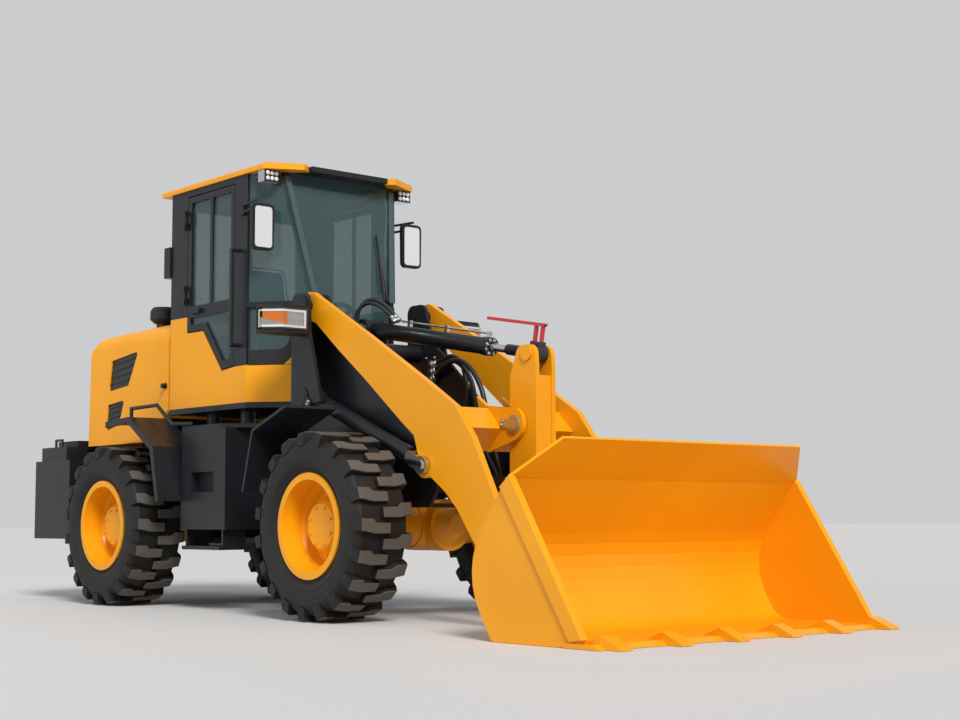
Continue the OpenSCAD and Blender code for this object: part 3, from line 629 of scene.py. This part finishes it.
# %% [markdown]
# ## Lamps
# The headlamp's cover wraps round the outer corner. It is a fine grid laid over
# the cover's own outline: a smoked rim, a white light guide inside it, then the
# amber turn signal outside and the ribbed reflector inside, each a little deeper
# than the last. The work lamps on the roof get a bezel with six small lenses.

# %% Lamps
smoked = finish("smoked_lamp_rim", (0.07, 0.07, 0.075), 0.12, 0.05, 0.02, 0, 1.0, 60, 20, 0.5, 0.02)
white_guide = glowing("white_light_guide", (0.88, 0.88, 0.86), 0.12)
amber = finish("amber_lens", (0.88, 0.27, 0.04), 0.16, 0.10, 0.02, 0, 1.0, 240, 90, 0.5, 0.25)
reflector = finish("ribbed_reflector", (0.66, 0.67, 0.68), 0.18, 0.10, 0.02, 0.6, 1.0, 160, 80, 0.5, 0.3)
lamp_glass = finish("clear_lamp_glass", (0.80, 0.81, 0.80), 0.12, 0.04, 0.03, 0.2, 1.0, 90, 40, 0.5, 0.05)

COVER = [(-480, 655), (-488, 843), (-585, 944), (-640, 944)]  # station and side of the cover's outer face
COVER_LOW, COVER_HIGH = 1872, 2012
ROOF = 3053  # height of the roof's underside, from which the work lamps hang


def along_cover(s):
    """The point s millimetres along the cover's outline, and its outward direction."""
    for (x0, y0), (x1, y1) in zip(COVER, COVER[1:]):
        step = math.hypot(x1 - x0, y1 - y0)
        if s <= step or (x1, y1) == COVER[-1]:
            t = min(s / step, 1.0)
            return x0 + (x1 - x0) * t, y0 + (y1 - y0) * t, (y1 - y0) / step, -(x1 - x0) / step
        s -= step


def cover_zone(s, z, span):
    """Depth under the cover's face in millimetres and the material number there."""
    edge = min(s, span - s, z - COVER_LOW, COVER_HIGH - z)
    if edge < 11:
        return 0.0, 0
    if edge < 25:
        return 1.0, 1
    if s > 150 and z > COVER_LOW + 25 + (s - 150) * 0.25:
        return 4.0, 2
    cell_s, cell_z = (s / 34) % 1, ((z - COVER_LOW - 25) / 45) % 1
    return 3.0 + 20 * cell_s * (1 - cell_s) * 4 * cell_z * (1 - cell_z) * 0.4, 3


def cover_mesh(name, side):
    span = sum(math.dist(a, b) for a, b in zip(COVER, COVER[1:])) - 2
    tall = COVER_HIGH - COVER_LOW
    stops = [0, 10.9, 11.1, 24.9, 25.1]

    def grid_lines(reach, count):
        """Places from one edge to the other, close together where the zones change."""
        even = [stops[-1] + (reach - 2 * stops[-1]) * k / count for k in range(1, count)]
        return stops + even + [reach - s for s in reversed(stops)]

    columns, rows = grid_lines(span, 60), grid_lines(tall, 14)
    bm = bmesh.new()
    grid = []
    for s in columns:
        x, y, nx, ny = along_cover(s)
        grid.append([])
        for h in rows:
            depth, _ = cover_zone(s, COVER_LOW + h, span)
            grid[-1].append(bm.verts.new(st(x - nx * depth, side * (y - ny * depth), COVER_LOW + h)))
    for i in range(len(columns) - 1):
        for j in range(len(rows) - 1):
            face = bm.faces.new((grid[i][j], grid[i + 1][j], grid[i + 1][j + 1], grid[i][j + 1]))
            middle = ((columns[i] + columns[i + 1]) / 2, COVER_LOW + (rows[j] + rows[j + 1]) / 2)
            face.material_index = cover_zone(*middle, span)[1]
    solid = bmesh.ops.solidify(bm, geom=bm.faces[:], thickness=0.0035)
    for item in solid["geom"]:
        if isinstance(item, bmesh.types.BMFace) and item.material_index > 3:
            item.material_index = 0
    return mesh_of(bm, name, 40)


for hand, side in (("right", -1), ("left", 1)):
    name = f"lamp_cover_{hand}"
    zones = (smoked, white_guide, amber, reflector)
    cover = add_piece(name, cover_mesh(name, side), "front", "lamp_lens", *zones)
    if side < 0:
        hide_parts("headlamp_lenses")
    bm = bmesh.new()
    low, high = sorted((side * 520, side * 640))
    add_block(bm, st(-1040, low, ROOF - 84), st(-1034, high, ROOF - 1), 0, 0.002)
    bead = [(0.0155, 0.0), (0.0155, 0.004), (0.012, 0.008), (0.005, 0.010)]
    for k in range(6):
        y, z = 545 + 35 * (k % 3), ROOF - 62 + 38 * (k // 3)
        add_turned(bm, bead, st(-1035, side * y, z), (1, 0, 0), 1, 20)
    name = f"work_lamp_face_{hand}"
    add_piece(name, mesh_of(bm, name), "rear", "lamp_lens", plastic, lamp_glass)

# %% [markdown]
# ## Hoses
# Two pressure hoses climb behind the tower, loop over the tilt cylinder's base
# pin and end in its pipes. Three thicker hoses leave a plate inside the tower
# and drop into the front frame. Every end has a crimped steel sleeve and a
# hexagon.

# %% Hoses
hose_rubber = finish("hose_rubber", (0.010, 0.010, 0.011), 0.42, 0.10, 0.15, 0, 0.1, 900, 200, 0.5, 0.15)


def crimp(bm, place, axis, radius, kind=1):
    """A steel sleeve pressed on a hose's end, with the hexagon of its nut."""
    sleeve = [(1.05, 0.0), (1.3, 0.004), (1.3, 0.016), (1.15, 0.018), (1.3, 0.020), (1.3, 0.034), (0.9, 0.037)]
    nut = [(1.55, 0.034), (1.6, 0.037), (1.6, 0.052), (1.45, 0.055)]
    for profile, sides in ((sleeve, 20), (nut, 6)):
        add_turned(bm, [(radius * r, a) for r, a in profile], place, axis, kind, sides)


def fitting(name, place, axis, radius, body):
    bm = bmesh.new()
    crimp(bm, place, axis, radius, 0)
    return add_piece(name, mesh_of(bm, name, 50), body, "pin_steel", zinc)


def hose(name, stations, radius, body, far_body=None):
    """A hose through the stations, with a fitting at each end; with far_body the far fitting goes to that body
    and the hose itself joins no body.
    """
    line = smooth_line([st(*p) for p in stations], 10)
    bm = bmesh.new()
    add_tube(bm, line, radius, 0, 14)
    mesh = mesh_of(bm, name, 50)
    if far_body is None:
        piece = add_piece(name, mesh, body, "black_plastic", hose_rubber)
    else:
        piece = bpy.data.objects.new(name, mesh)
        mesh.materials.append(hose_rubber)
        bpy.context.scene.collection.objects.link(piece)
        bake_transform(piece)
    first, last = (line[0] - line[1]).normalized(), (line[-1] - line[-2]).normalized()
    ends = [
        fitting(name + "_near_end", line[0] - first * 0.045, first, radius, body),
        fitting(name + "_far_end", line[-1] - last * 0.045, last, radius, far_body or body),
    ]
    length = sum((b - a).length for a, b in zip(line, line[1:]))
    return length


TILT_HOSE, FRAME_HOSE, BLOCK_Y = 0.014, 0.017, 384
LOOPS = (  # sideways place at the start and the end, then station and height along the way
    (-112, -12, [
        (-640, 1849), (-657, 1900), (-663, 1980), (-652, 2060), (-612, 2116),
        (-550, 2132), (-480, 2110), (-400, 2050), (-332, 1974),
    ]),
    (-148, -38, [
        (-618, 1838), (-631, 1895), (-636, 1970), (-622, 2042), (-585, 2090),
        (-530, 2104), (-465, 2082), (-395, 2030), (-336, 1966),
    ]),
)
lengths = []
for k, (y0, y1, way) in enumerate(LOOPS, 1):
    stations = [(x, y0 + (y1 - y0) * max(0, i - 3) / 5, z) for i, (x, z) in enumerate(way)]
    lengths.append(hose(f"tilt_hose_{k}", stations, TILT_HOSE, "front", "tilt_barrel"))
ROUTES = (  # sideways place at the end, then station and height along the way
    (380, [
        (-446, 1700), (-345, 1727), (-235, 1742), (-135, 1690), (-88, 1569),
        (-88, 1419), (-140, 1200), (-240, 960), (-290, 800), (-300, 728),
    ]),
    (332, [
        (-446, 1650), (-340, 1684), (-200, 1708), (-70, 1662), (20, 1560), (62, 1440),
        (100, 1250), (190, 1050), (310, 880), (360, 780), (372, 728),
    ]),
    (284, [
        (-446, 1600), (-320, 1655), (-160, 1698), (0, 1680), (112, 1595), (190, 1480),
        (240, 1330), (300, 1130), (380, 920), (418, 790), (424, 728),
    ]),
)
for k, (y, way) in enumerate(ROUTES):
    stations = [(x, BLOCK_Y + (y - BLOCK_Y) * min(1, i / 3), z) for i, (x, z) in enumerate(way)]
    lengths.append(hose(f"frame_hose_{k}", stations, FRAME_HOSE, "front"))

bm = bmesh.new()
add_block(bm, st(-520, 362, 1566), st(-470, 404, 1738), 0, 0.006)
add_block(bm, st(-540, 390, 1540), st(-430, 404.5, 1765), 0, 0.004)
for x, z in ((-534, 1556), (-534, 1750), (-438, 1556), (-438, 1750)):
    add_bolt(bm, st(x, 390, z), (0, -1, 0), 0.008, 1)
union = [(0.024, 0), (0.026, 0.003), (0.026, 0.026), (0.022, 0.030)]
for z in (1700, 1650, 1600):
    add_turned(bm, union, st(-471, BLOCK_Y, z), (1, 0, 0.2), 1, 6)
add_piece("hose_block", mesh_of(bm, "hose_block"), "front", "frame_paint", graphite, zinc)
print("hose lengths", [round(v, 2) for v in lengths])

# %% [markdown]
# ## Pin retainers, gland and sleeve
# Each big pin is kept by a plate with a ring round the pin's end and an arm with
# two bolts. The tilt cylinder's gland is bolted on, a steel pipe runs along its
# barrel, and a dark sleeve covers the rod's end.

# %% Pins and cylinder


def add_ring(bm, inner, outer, thick, place, axis, kind=0, steps=36):
    """A flat washer: a closed section turned about an axis."""
    turn = facing(place, axis)
    soft = min(0.002, thick / 3)
    section = [(inner, 0), (outer - soft, 0), (outer, soft)]
    section += [(outer, thick - soft), (outer - soft, thick), (inner, thick)]
    loops = []
    for k in range(steps):
        t = 2 * math.pi * k / steps
        loops.append([bm.verts.new(turn @ Vector((r * math.cos(t), r * math.sin(t), a))) for r, a in section])
    for one, two in zip(loops, loops[1:] + loops[:1]):
        strip(bm, one, two, kind)


def retainer(name, body, x, z, face, pin, arm, plate=zinc):
    """Plates on both outer faces round a pin at (x, z); arm is its direction and reach in millimetres."""
    bm = bmesh.new()
    reach = math.hypot(*arm)
    ux, uz = arm[0] / reach, arm[1] / reach
    for side in (-1, 1):
        outward = (0, side, 0)
        centre = st(x, side * face, z)
        add_ring(bm, (pin + 1.5) / 1000, (pin + 20) / 1000, 0.010, centre, outward)
        turn = Matrix.Translation(centre) @ Matrix.Rotation(-math.atan2(uz, ux), 4, "Y")
        low, high = sorted((0.0, side * 0.010))
        add_block(bm, ((pin + 14) / 1000, low, -0.026), ((reach + 24) / 1000, high, 0.026), 0, 0.003, turn)
        for across in (-12, 12):
            spot = st(x + ux * reach - uz * across, side * (face + 10), z + uz * reach + ux * across)
            add_bolt(bm, spot, outward, 0.008, 1)
    return add_piece(name, mesh_of(bm, name), body, "pin_steel", plate, zinc)


retainer("rocker_pin_plates", "boom", 960, 1200, 119, 40, (-98, 14))
retainer("boom_pivot_plates", "front", -640, 2060, 590, 40, (0, -92), graphite)
retainer("lift_base_plates", "front", -620, 1448, 590, 35, (70, -52), graphite)
retainer("bucket_pin_plates", "bucket", 1560, 300, 567, 40, (-10, 92))

BASE, EYE = Vector((-644, 0, 1939)), Vector((1042, 0, 1637))
ROD_WAY = (EYE - BASE).normalized()
ROD_UP = Vector((-ROD_WAY.z, 0, ROD_WAY.x))


def on_tilt(u, y=0.0, v=0.0):
    """A place on the tilt cylinder: u along it from its base pin, y sideways, v above its axis."""
    return st(*(BASE + ROD_WAY * u + Vector((0, y, 0)) + ROD_UP * v))


bm = bmesh.new()
for k in range(8):
    t = math.radians(22.5 + 45 * k)
    add_bolt(bm, on_tilt(1284, 45 * math.cos(t), 45 * math.sin(t)), ROD_WAY, 0.0075, 1)
pipe = [(150, 54, 6), (158, 66, 8), (190, 72, 10), (1140, 72, 10), (1178, 68, 8), (1188, 56, 6)]
add_tube(bm, smooth_line([on_tilt(*p) for p in pipe], 6), 0.008, 1)
for u in (330, 660, 990):
    turn = Matrix.Translation(on_tilt(u, 62, 10)) @ Matrix.Rotation(math.atan2(-ROD_WAY.z, ROD_WAY.x), 4, "Y")
    add_block(bm, (-0.016, -0.010, -0.014), (0.016, 0.021, 0.014), 0, 0.003, turn)
add_piece("tilt_pipe", mesh_of(bm, "tilt_pipe"), "tilt_barrel", "pin_steel", graphite, zinc)

bm = bmesh.new()
sleeve = [(0.027, 0), (0.033, 0.002), (0.035, 0.008), (0.035, 0.186), (0.040, 0.194), (0.040, 0.206)]
add_turned(bm, sleeve, on_tilt(1442), ROD_WAY, 0, 36)
add_piece("tilt_rod_sleeve", mesh_of(bm, "tilt_rod_sleeve"), "tilt_rod", "frame_paint", graphite)
print("pins", 4)

# %% [markdown]
# ## On the cab and hood
# The wiper lies on the sloping windscreen: a boss, a pair of thin arms and the
# blade. Each mirror gets its glass, and the hood its turn knobs.

# %% Cab and hood fittings
mirror_glass = finish("mirror_glass", (0.90, 0.91, 0.92), 0.06, 0.02, 0.0, 0.6, 0, 20, 5, 0.5, 0.005)


def on_screen(y, z, out=0):
    """A place on the windscreen, out millimetres in front of the glass."""
    return st(-879 - 0.1772 * (z - 2100) + out, y, z)


bm = bmesh.new()
BLADE_Y = 278
boss = [(0.030, -0.004), (0.030, 0.012), (0.018, 0.018), (0.012, 0.034), (0.008, 0.038)]
add_turned(bm, boss, on_screen(300, 2185, 2), (1, 0, 0.177), 0)
for y in (0, -26):
    arm = [(300 + y, 2185 - y * 0.3, 30), (292 + y * 0.8, 2330, 34), (288 + y * 0.5, 2450, 24)]
    add_tube(bm, [on_screen(*p) for p in arm], 0.005, 0, 8)
bow = [(2250, 20), (2350, 23), (2460, 24), (2570, 23), (2670, 20)]
add_tube(bm, smooth_line([on_screen(BLADE_Y, *p) for p in bow], 4), 0.007, 0, 8)
add_tube(bm, [on_screen(BLADE_Y, z, 9) for z in (2240, 2460, 2680)], 0.005, 1, 6)
for z in (2255, 2360, 2460, 2560, 2665):
    add_tube(bm, [on_screen(BLADE_Y, z, out) for out in (8, 22)], 0.004, 0, 6)
add_piece("wiper", mesh_of(bm, "wiper"), "rear", "black_plastic", black_satin, plastic)

def round_corners(low, high, soft, grow):
    """A rectangle's outline (side, height) with round corners, grown outwards by some millimetres."""
    (y0, z0), (y1, z1) = low, high
    outline = []
    for cy, cz, first in ((y1 - soft, z1 - soft, 0), (y0 + soft, z1 - soft, 90),
                          (y0 + soft, z0 + soft, 180), (y1 - soft, z0 + soft, 270)):
        for k in range(5):
            t = math.radians(first + 22.5 * k)
            outline.append((cy + (soft + grow) * math.cos(t), cz + (soft + grow) * math.sin(t)))
    return outline


MIRROR_LOW, MIRROR_HIGH = (575, 2493), (727, 2790)
KNOB = [(0.020, 0), (0.024, 0.003), (0.024, 0.007), (0.013, 0.010)]
KNOB += [(0.013, 0.016), (0.019, 0.020), (0.019, 0.032), (0.016, 0.036)]
for hand, side in (("right", -1), ("left", 1)):
    bm = bmesh.new()
    loops = []
    for x, grow, soft in ((-1032, 0.0, 34), (-1026, 2.0, 34), (-1026, -6.0, 28)):
        outline = round_corners(MIRROR_LOW, MIRROR_HIGH, soft, grow)
        loops.append([bm.verts.new(st(x, side * y, z)) for y, z in outline])
    for one, two in zip(loops, loops[1:]):
        strip(bm, one, two, 1)
    bm.faces.new(loops[-1])
    name = f"mirror_glass_{hand}"
    add_piece(name, mesh_of(bm, name), "rear", "chrome", mirror_glass, plastic)
    bm = bmesh.new()
    add_turned(bm, KNOB, st(-2385, side * 627, 1625), (0, side, 0), 0, 24)
    add_piece(f"hood_knob_{hand}", mesh_of(bm, f"hood_knob_{hand}"), "hood", "black_plastic", plastic)
print("fittings on cab and hood ready")

# %% [markdown]
# ## Operator's seat
# Two cushions on a suspension with a rubber bellows. Each cushion starts as a
# rounded block a little smaller than it should be. The cloth simulation blows it
# up against its own fabric, with the resting side pinned, and no point may move
# further than the cap. Then the sewn channels are pressed in, and a piping cord
# is laid round the edge.

# %% Seat
seat_piping = finish("seat_piping", (0.055, 0.056, 0.06), 0.6, 0.05, 0.05, 0, 0, 800, 100, 0.5, 0.1)


def rounded_block(name, half, radius, crown, cuts=9):
    """A block with round edges whose top swells towards the middle."""
    bm = bmesh.new()
    bmesh.ops.create_cube(bm, size=2.0)
    bmesh.ops.subdivide_edges(bm, edges=bm.edges[:], cuts=cuts, use_grid_fill=True)
    for v in bm.verts:
        p = Vector(v.co[i] * half[i] for i in range(3))
        inner = Vector(min(max(p[i], radius - half[i]), half[i] - radius) for i in range(3))
        if (p - inner).length > 1e-6:
            p = inner + (p - inner).normalized() * radius
        sides = max(0.0, (1 - (p.x / half[0]) ** 2) * (1 - (p.y / half[1]) ** 2))
        p.z += crown * sides if p.z > 0 else 0
        v.co = p
    mesh = bpy.data.meshes.new(name)
    bm.to_mesh(mesh)
    bm.free()
    return mesh


def applied(piece):
    """The piece's mesh with its modifiers in it."""
    view = bpy.context.evaluated_depsgraph_get()
    mesh = bpy.data.meshes.new_from_object(piece.evaluated_get(view))
    piece.modifiers.clear()
    piece.data = mesh


def blow_up(piece, cap):
    """Remesh the block evenly and let cloth under pressure round it, by at most cap metres."""
    remesh = piece.modifiers.new("even", "REMESH")
    remesh.mode, remesh.voxel_size = "VOXEL", 0.006
    applied(piece)
    start = [v.co.copy() for v in piece.data.vertices]
    held = piece.vertex_groups.new(name="held")
    lowest = min(p.z for p in start)
    held.add([i for i, p in enumerate(start) if p.z < lowest + 0.012], 1.0, "REPLACE")
    cloth_sim = piece.modifiers.new("swell", "CLOTH")
    cloth_sim.settings.use_pressure = True
    cloth_sim.settings.uniform_pressure_force = 4.0
    cloth_sim.settings.vertex_group_mass = "held"
    cloth_sim.settings.effector_weights.gravity = 0.0
    for step in range(1, 21):
        bpy.context.scene.frame_set(step)
    applied(piece)
    moved = 0.0
    for v, p in zip(piece.data.vertices, start):
        shift = v.co - p
        v.co = p + shift * min(1.0, cap / max(shift.length, 1e-9))
        moved = max(moved, (v.co - p).length)
    bpy.context.scene.frame_set(1)
    return moved


def sew(mesh, distance, depth, width):
    """Press a channel into the top where distance(point) is small."""
    normals = [v.normal.copy() for v in mesh.vertices]
    for v, n in zip(mesh.vertices, normals):
        if n.z > 0.2:
            v.co -= n * depth * math.exp(-((distance(v.co) / width) ** 2))


def padded_part(name, half, radius, crown, place, cap, channels):
    piece = bpy.data.objects.new(name, rounded_block(name, half, radius, crown))
    bpy.context.scene.collection.objects.link(piece)
    moved = blow_up(piece, cap)
    for distance in channels:
        sew(piece.data, distance, 0.007, 0.008)
    shade_smooth(piece.data, 60)
    piece.data.materials.append(cloth)
    piece.data.transform(place)
    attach(piece, "rear")
    print(name, "faces", len(piece.data.polygons), "moved", round(moved, 4))
    return piece


def piping(name, half, radius, level, place):
    """A cord round the cushion's upper edge."""
    line = []
    for cx, cy, start in ((1, 1, 0), (-1, 1, 90), (-1, -1, 180), (1, -1, 270)):
        for k in range(7):
            t = math.radians(start + 15 * k)
            x = cx * (half[0] - radius) + radius * math.cos(t)
            y = cy * (half[1] - radius) + radius * math.sin(t)
            line.append(place @ Vector((x, y, level)))
    bm = bmesh.new()
    add_tube(bm, line + [line[0]], 0.0045, 0, 8)
    add_piece(name, mesh_of(bm, name, 60), "rear", "seat_cover", seat_piping)


seat_at = Matrix.Translation(st(-1800, 0, 1858))
back_at = Matrix.Translation(st(-2046, 0, 2236)) @ Matrix.Rotation(math.radians(78.5), 4, "Y")
base_half, back_half = (0.226, 0.228, 0.050), (0.300, 0.218, 0.044)
CROWN, CAP = 0.010, 0.012


def bolster(p):
    """Distance to the seam beside either bolster."""
    return abs(abs(p.y) - 0.135)


def cross_seam(x):
    """Distance to a seam across the cushion, as a function of the point."""
    return lambda p: abs(p.x - x)


base_seams, back_seams = ([bolster, cross_seam(a), cross_seam(b)] for a, b in ((-0.02, 0.10), (-0.10, 0.06)))
seat_cushion = padded_part("seat_cushion", base_half, 0.042, CROWN, seat_at, CAP, base_seams)
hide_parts("seat")
padded_part("seat_back", back_half, 0.040, CROWN, back_at, CAP, back_seams)
piping("seat_cushion_piping", (0.232, 0.234), 0.05, 0.028, seat_at)
piping("seat_back_piping", (0.306, 0.224), 0.05, 0.024, back_at)

bm = bmesh.new()
add_block(bm, st(-1970, -158, 1441), st(-1670, 158, 1500), 0, 0.008)
for k in range(7):
    grow, z = 0 if k % 2 else 14, 1502 + 36 * k
    add_block(bm, st(-1950 - grow, -140 - grow, z), st(-1690 + grow, 140 + grow, z + 34), 1, 0.012)
add_block(bm, st(-1985, -170, 1757), st(-1655, 170, 1804), 0, 0.010)
for y in (-215, 215):
    arm = [(-2085, y * 0.9, 2080), (-2090, y * 1.02, 2105), (-2040, y * 1.06, 2118), (-1800, y * 1.06, 2122)]
    add_tube(bm, smooth_line([st(*p) for p in arm], 6), 0.012, 0, 10)
    low, high = sorted((y * 1.06 - 32, y * 1.06 + 32))
    add_block(bm, st(-2060, low, 2128), st(-1770, high, 2168), 1, 0.014)
add_piece("seat_suspension", mesh_of(bm, "seat_suspension"), "rear", "black_plastic", plastic, hose_rubber)

# %% [markdown]
# ## Beside the seat
# A console with two levers stands to the right of the seat. Each lever has a
# rubber boot at its foot and a grip on top.

# %% Controls
trim = finish("grey_trim", (0.075, 0.077, 0.080), 0.55, 0.08, 0.1, 0, 0, 650, 110, 0.5, 0.15)
bm = bmesh.new()
add_block(bm, st(-1960, -452, 1442), st(-1610, -292, 1960), 0, 0.03)
add_block(bm, st(-1930, -440, 1958), st(-1640, -304, 1974), 1, 0.006)
boot = [(0.030, 0), (0.028, 0.012), (0.016, 0.030), (0.010, 0.038)]
grip = [(0.010, 0), (0.021, 0.010), (0.024, 0.028), (0.020, 0.046), (0.008, 0.056)]
for x, lean in ((-1690, 26), (-1770, 10)):
    lever = [st(x, -372, 1970), st(x + lean * 0.3, -372, 2040), st(x + lean, -372, 2120)]
    add_tube(bm, smooth_line(lever, 5), 0.007, 2, 10)
    add_turned(bm, boot, lever[0], (0, 0, 1), 1, 20)
    add_turned(bm, grip, lever[-1], (0.2, 0, 1), 1, 20)
add_piece("side_console", mesh_of(bm, "side_console"), "rear", "black_plastic", trim, plastic, zinc)
print("controls ready")

# %% [markdown]
# ## Corner glass and the level flag
# The quarter panes and the windscreen meet over the front posts, so each post
# wears a skin of dark glass with a thin seal along its outer edge. The lower pane
# has a printed black border, and a yellow corner rises beside it. The red level
# bar has a folded lip, and the rod's eye is painted while the rod is bright.

# %% Corner glass and level flag
corner_glass = finish(
    "corner_glass", (0.040, 0.078, 0.084), 0.07, 0.06, 0.02, 0, 0.3, 4.0, 1.0, 0.5, 0.01, specular=0.6
)
POST_FOOT, POST_TOP, POST_HALF = (-882, 338, 2190), (-1055, 460, 3034), 18
SKIN_OUT, SKIN = POST_HALF + 6, 8  # reach of the skin from the post's middle, and its thickness


def post_at(t, side, dx, dy):
    """A point beside the sloping front post, t from its foot to its top."""
    x, y, z = (a + (b - a) * t for a, b in zip(POST_FOOT, POST_TOP))
    return st(x + dx, side * (y + dy), z)


for hand, side in (("right", -1), ("left", 1)):
    bm = bmesh.new()
    h, low = SKIN_OUT, SKIN_OUT - SKIN
    section = [(h, -h), (h, h - 6), (h - 6, h), (-h, h), (-h, low), (low - 4, low), (low, low - 4), (low, -h)]
    skin(bm, [
        [bm.verts.new(post_at(t, side, dx, dy)) for dx, dy in section] for t in (-0.02, 0.25, 0.5, 0.75, 0.985)
    ])
    add_tube(bm, [post_at(t, side, h - 2, h - 2) for t in (-0.02, 0.5, 0.985)], 0.0045, 1, 8)
    name = f"corner_glass_{hand}"
    add_piece(name, mesh_of(bm, name, 30), "rear", "tinted_glass", corner_glass, plastic)

PANE_LIFT = (4.5, 9)  # back and face of what lies on the pane
PANE_FOOT, PANE_ALONG, PANE_OUT = (-1246, 622), (0.78, -0.627), (0.627, 0.78)
BORDER = [(0, 1699), (254, 1699), (300, 1738), (364, 1852), (446, 1852), (446, 2098), (0, 2098)]
SIGHT = [(8, 1803), (222, 1803), (268, 1822), (292, 1860), (300, 1905), (304, 2090), (8, 2090)]
CORNER = [(258, 1699), (446, 1699), (446, 1851), (366, 1851), (302, 1736)]


def pane_loop(bm, outline, side, out):
    """Points along and up the lower quarter pane, out millimetres in front of the glass."""
    (x, y), (ax, ay), (ox, oy) = PANE_FOOT, PANE_ALONG, PANE_OUT
    return [bm.verts.new(st(x + ax * t + ox * out, side * (y + ay * t + oy * out), z)) for t, z in outline]


for hand, side in (("right", -1), ("left", 1)):
    bm = bmesh.new()
    outer_back, outer_face = (pane_loop(bm, BORDER, side, out) for out in PANE_LIFT)
    inner_back, inner_face = (pane_loop(bm, SIGHT, side, out) for out in PANE_LIFT)
    around = [outer_back, outer_face, inner_face, inner_back]
    for one, two in zip(around, around[1:] + around[:1]):
        strip(bm, one, two)
    add_piece(f"pane_border_{hand}", mesh_of(bm, f"pane_border_{hand}"), "rear", "black_plastic", plastic)
    bm = bmesh.new()
    skin(bm, [pane_loop(bm, CORNER, side, out) for out in PANE_LIFT])
    add_piece(f"pane_corner_{hand}", mesh_of(bm, f"pane_corner_{hand}"), "rear", "yellow_paint", yellow)

bm = bmesh.new()
REACH = (EYE - BASE).length
for y in (-14, 14):
    lip = [(-486, 181), (50, 181), (50, 174), (44, 170), (-480, 170), (-486, 174)]  # along from the eye, and up
    skin(bm, [[bm.verts.new(on_tilt(REACH + u, y + d, v)) for u, v in lip] for d in (-2, 2)])
add_piece("level_flag_lips", mesh_of(bm, "level_flag_lips"), "tilt_rod", "red_paint", red)


def two_tone(name, beyond):
    """Bright chrome that turns to dark paint past a place along the frame's X axis."""
    mat = finish(name, (0.62, 0.63, 0.65), 0.14, 0.03, 0.05, 1.0, 0, 900, 20, 0.2, 0.01)
    tree = mat.node_tree
    shader = tree.nodes["Principled BSDF"]
    kinds = ("TexCoord", "SeparateXYZ", "Math", "Math")
    place, split, past, metal = (tree.nodes.new("ShaderNode" + kind) for kind in kinds)
    past.operation, past.inputs[1].default_value = "GREATER_THAN", beyond
    metal.operation, metal.inputs[0].default_value = "SUBTRACT", 1.0
    paint = tree.nodes.new("ShaderNodeMix")
    paint.data_type = "RGBA"
    paint.inputs["B"].default_value = (0.020, 0.021, 0.025, 1)
    link(
        tree,
        (place.outputs["Object"], split.inputs[0]),
        (split.outputs["X"], past.inputs[0]),
        (past.outputs[0], metal.inputs[1]),
        (past.outputs[0], paint.inputs["Factor"]),
        (shader.inputs["Base Color"].links[0].from_socket, paint.inputs["A"]),
        (paint.outputs["Result"], shader.inputs["Base Color"]),
        (metal.outputs[0], shader.inputs["Metallic"]),
    )
    return mat


eye_from = st(EYE.x - 75, 0, 0).x
rod = nodes["tilt_rod"]
rod.data.materials.clear()
rod.data.materials.append(two_tone("chrome_with_dark_eye", eye_from))
print("rod eye from", round(eye_from, 3))
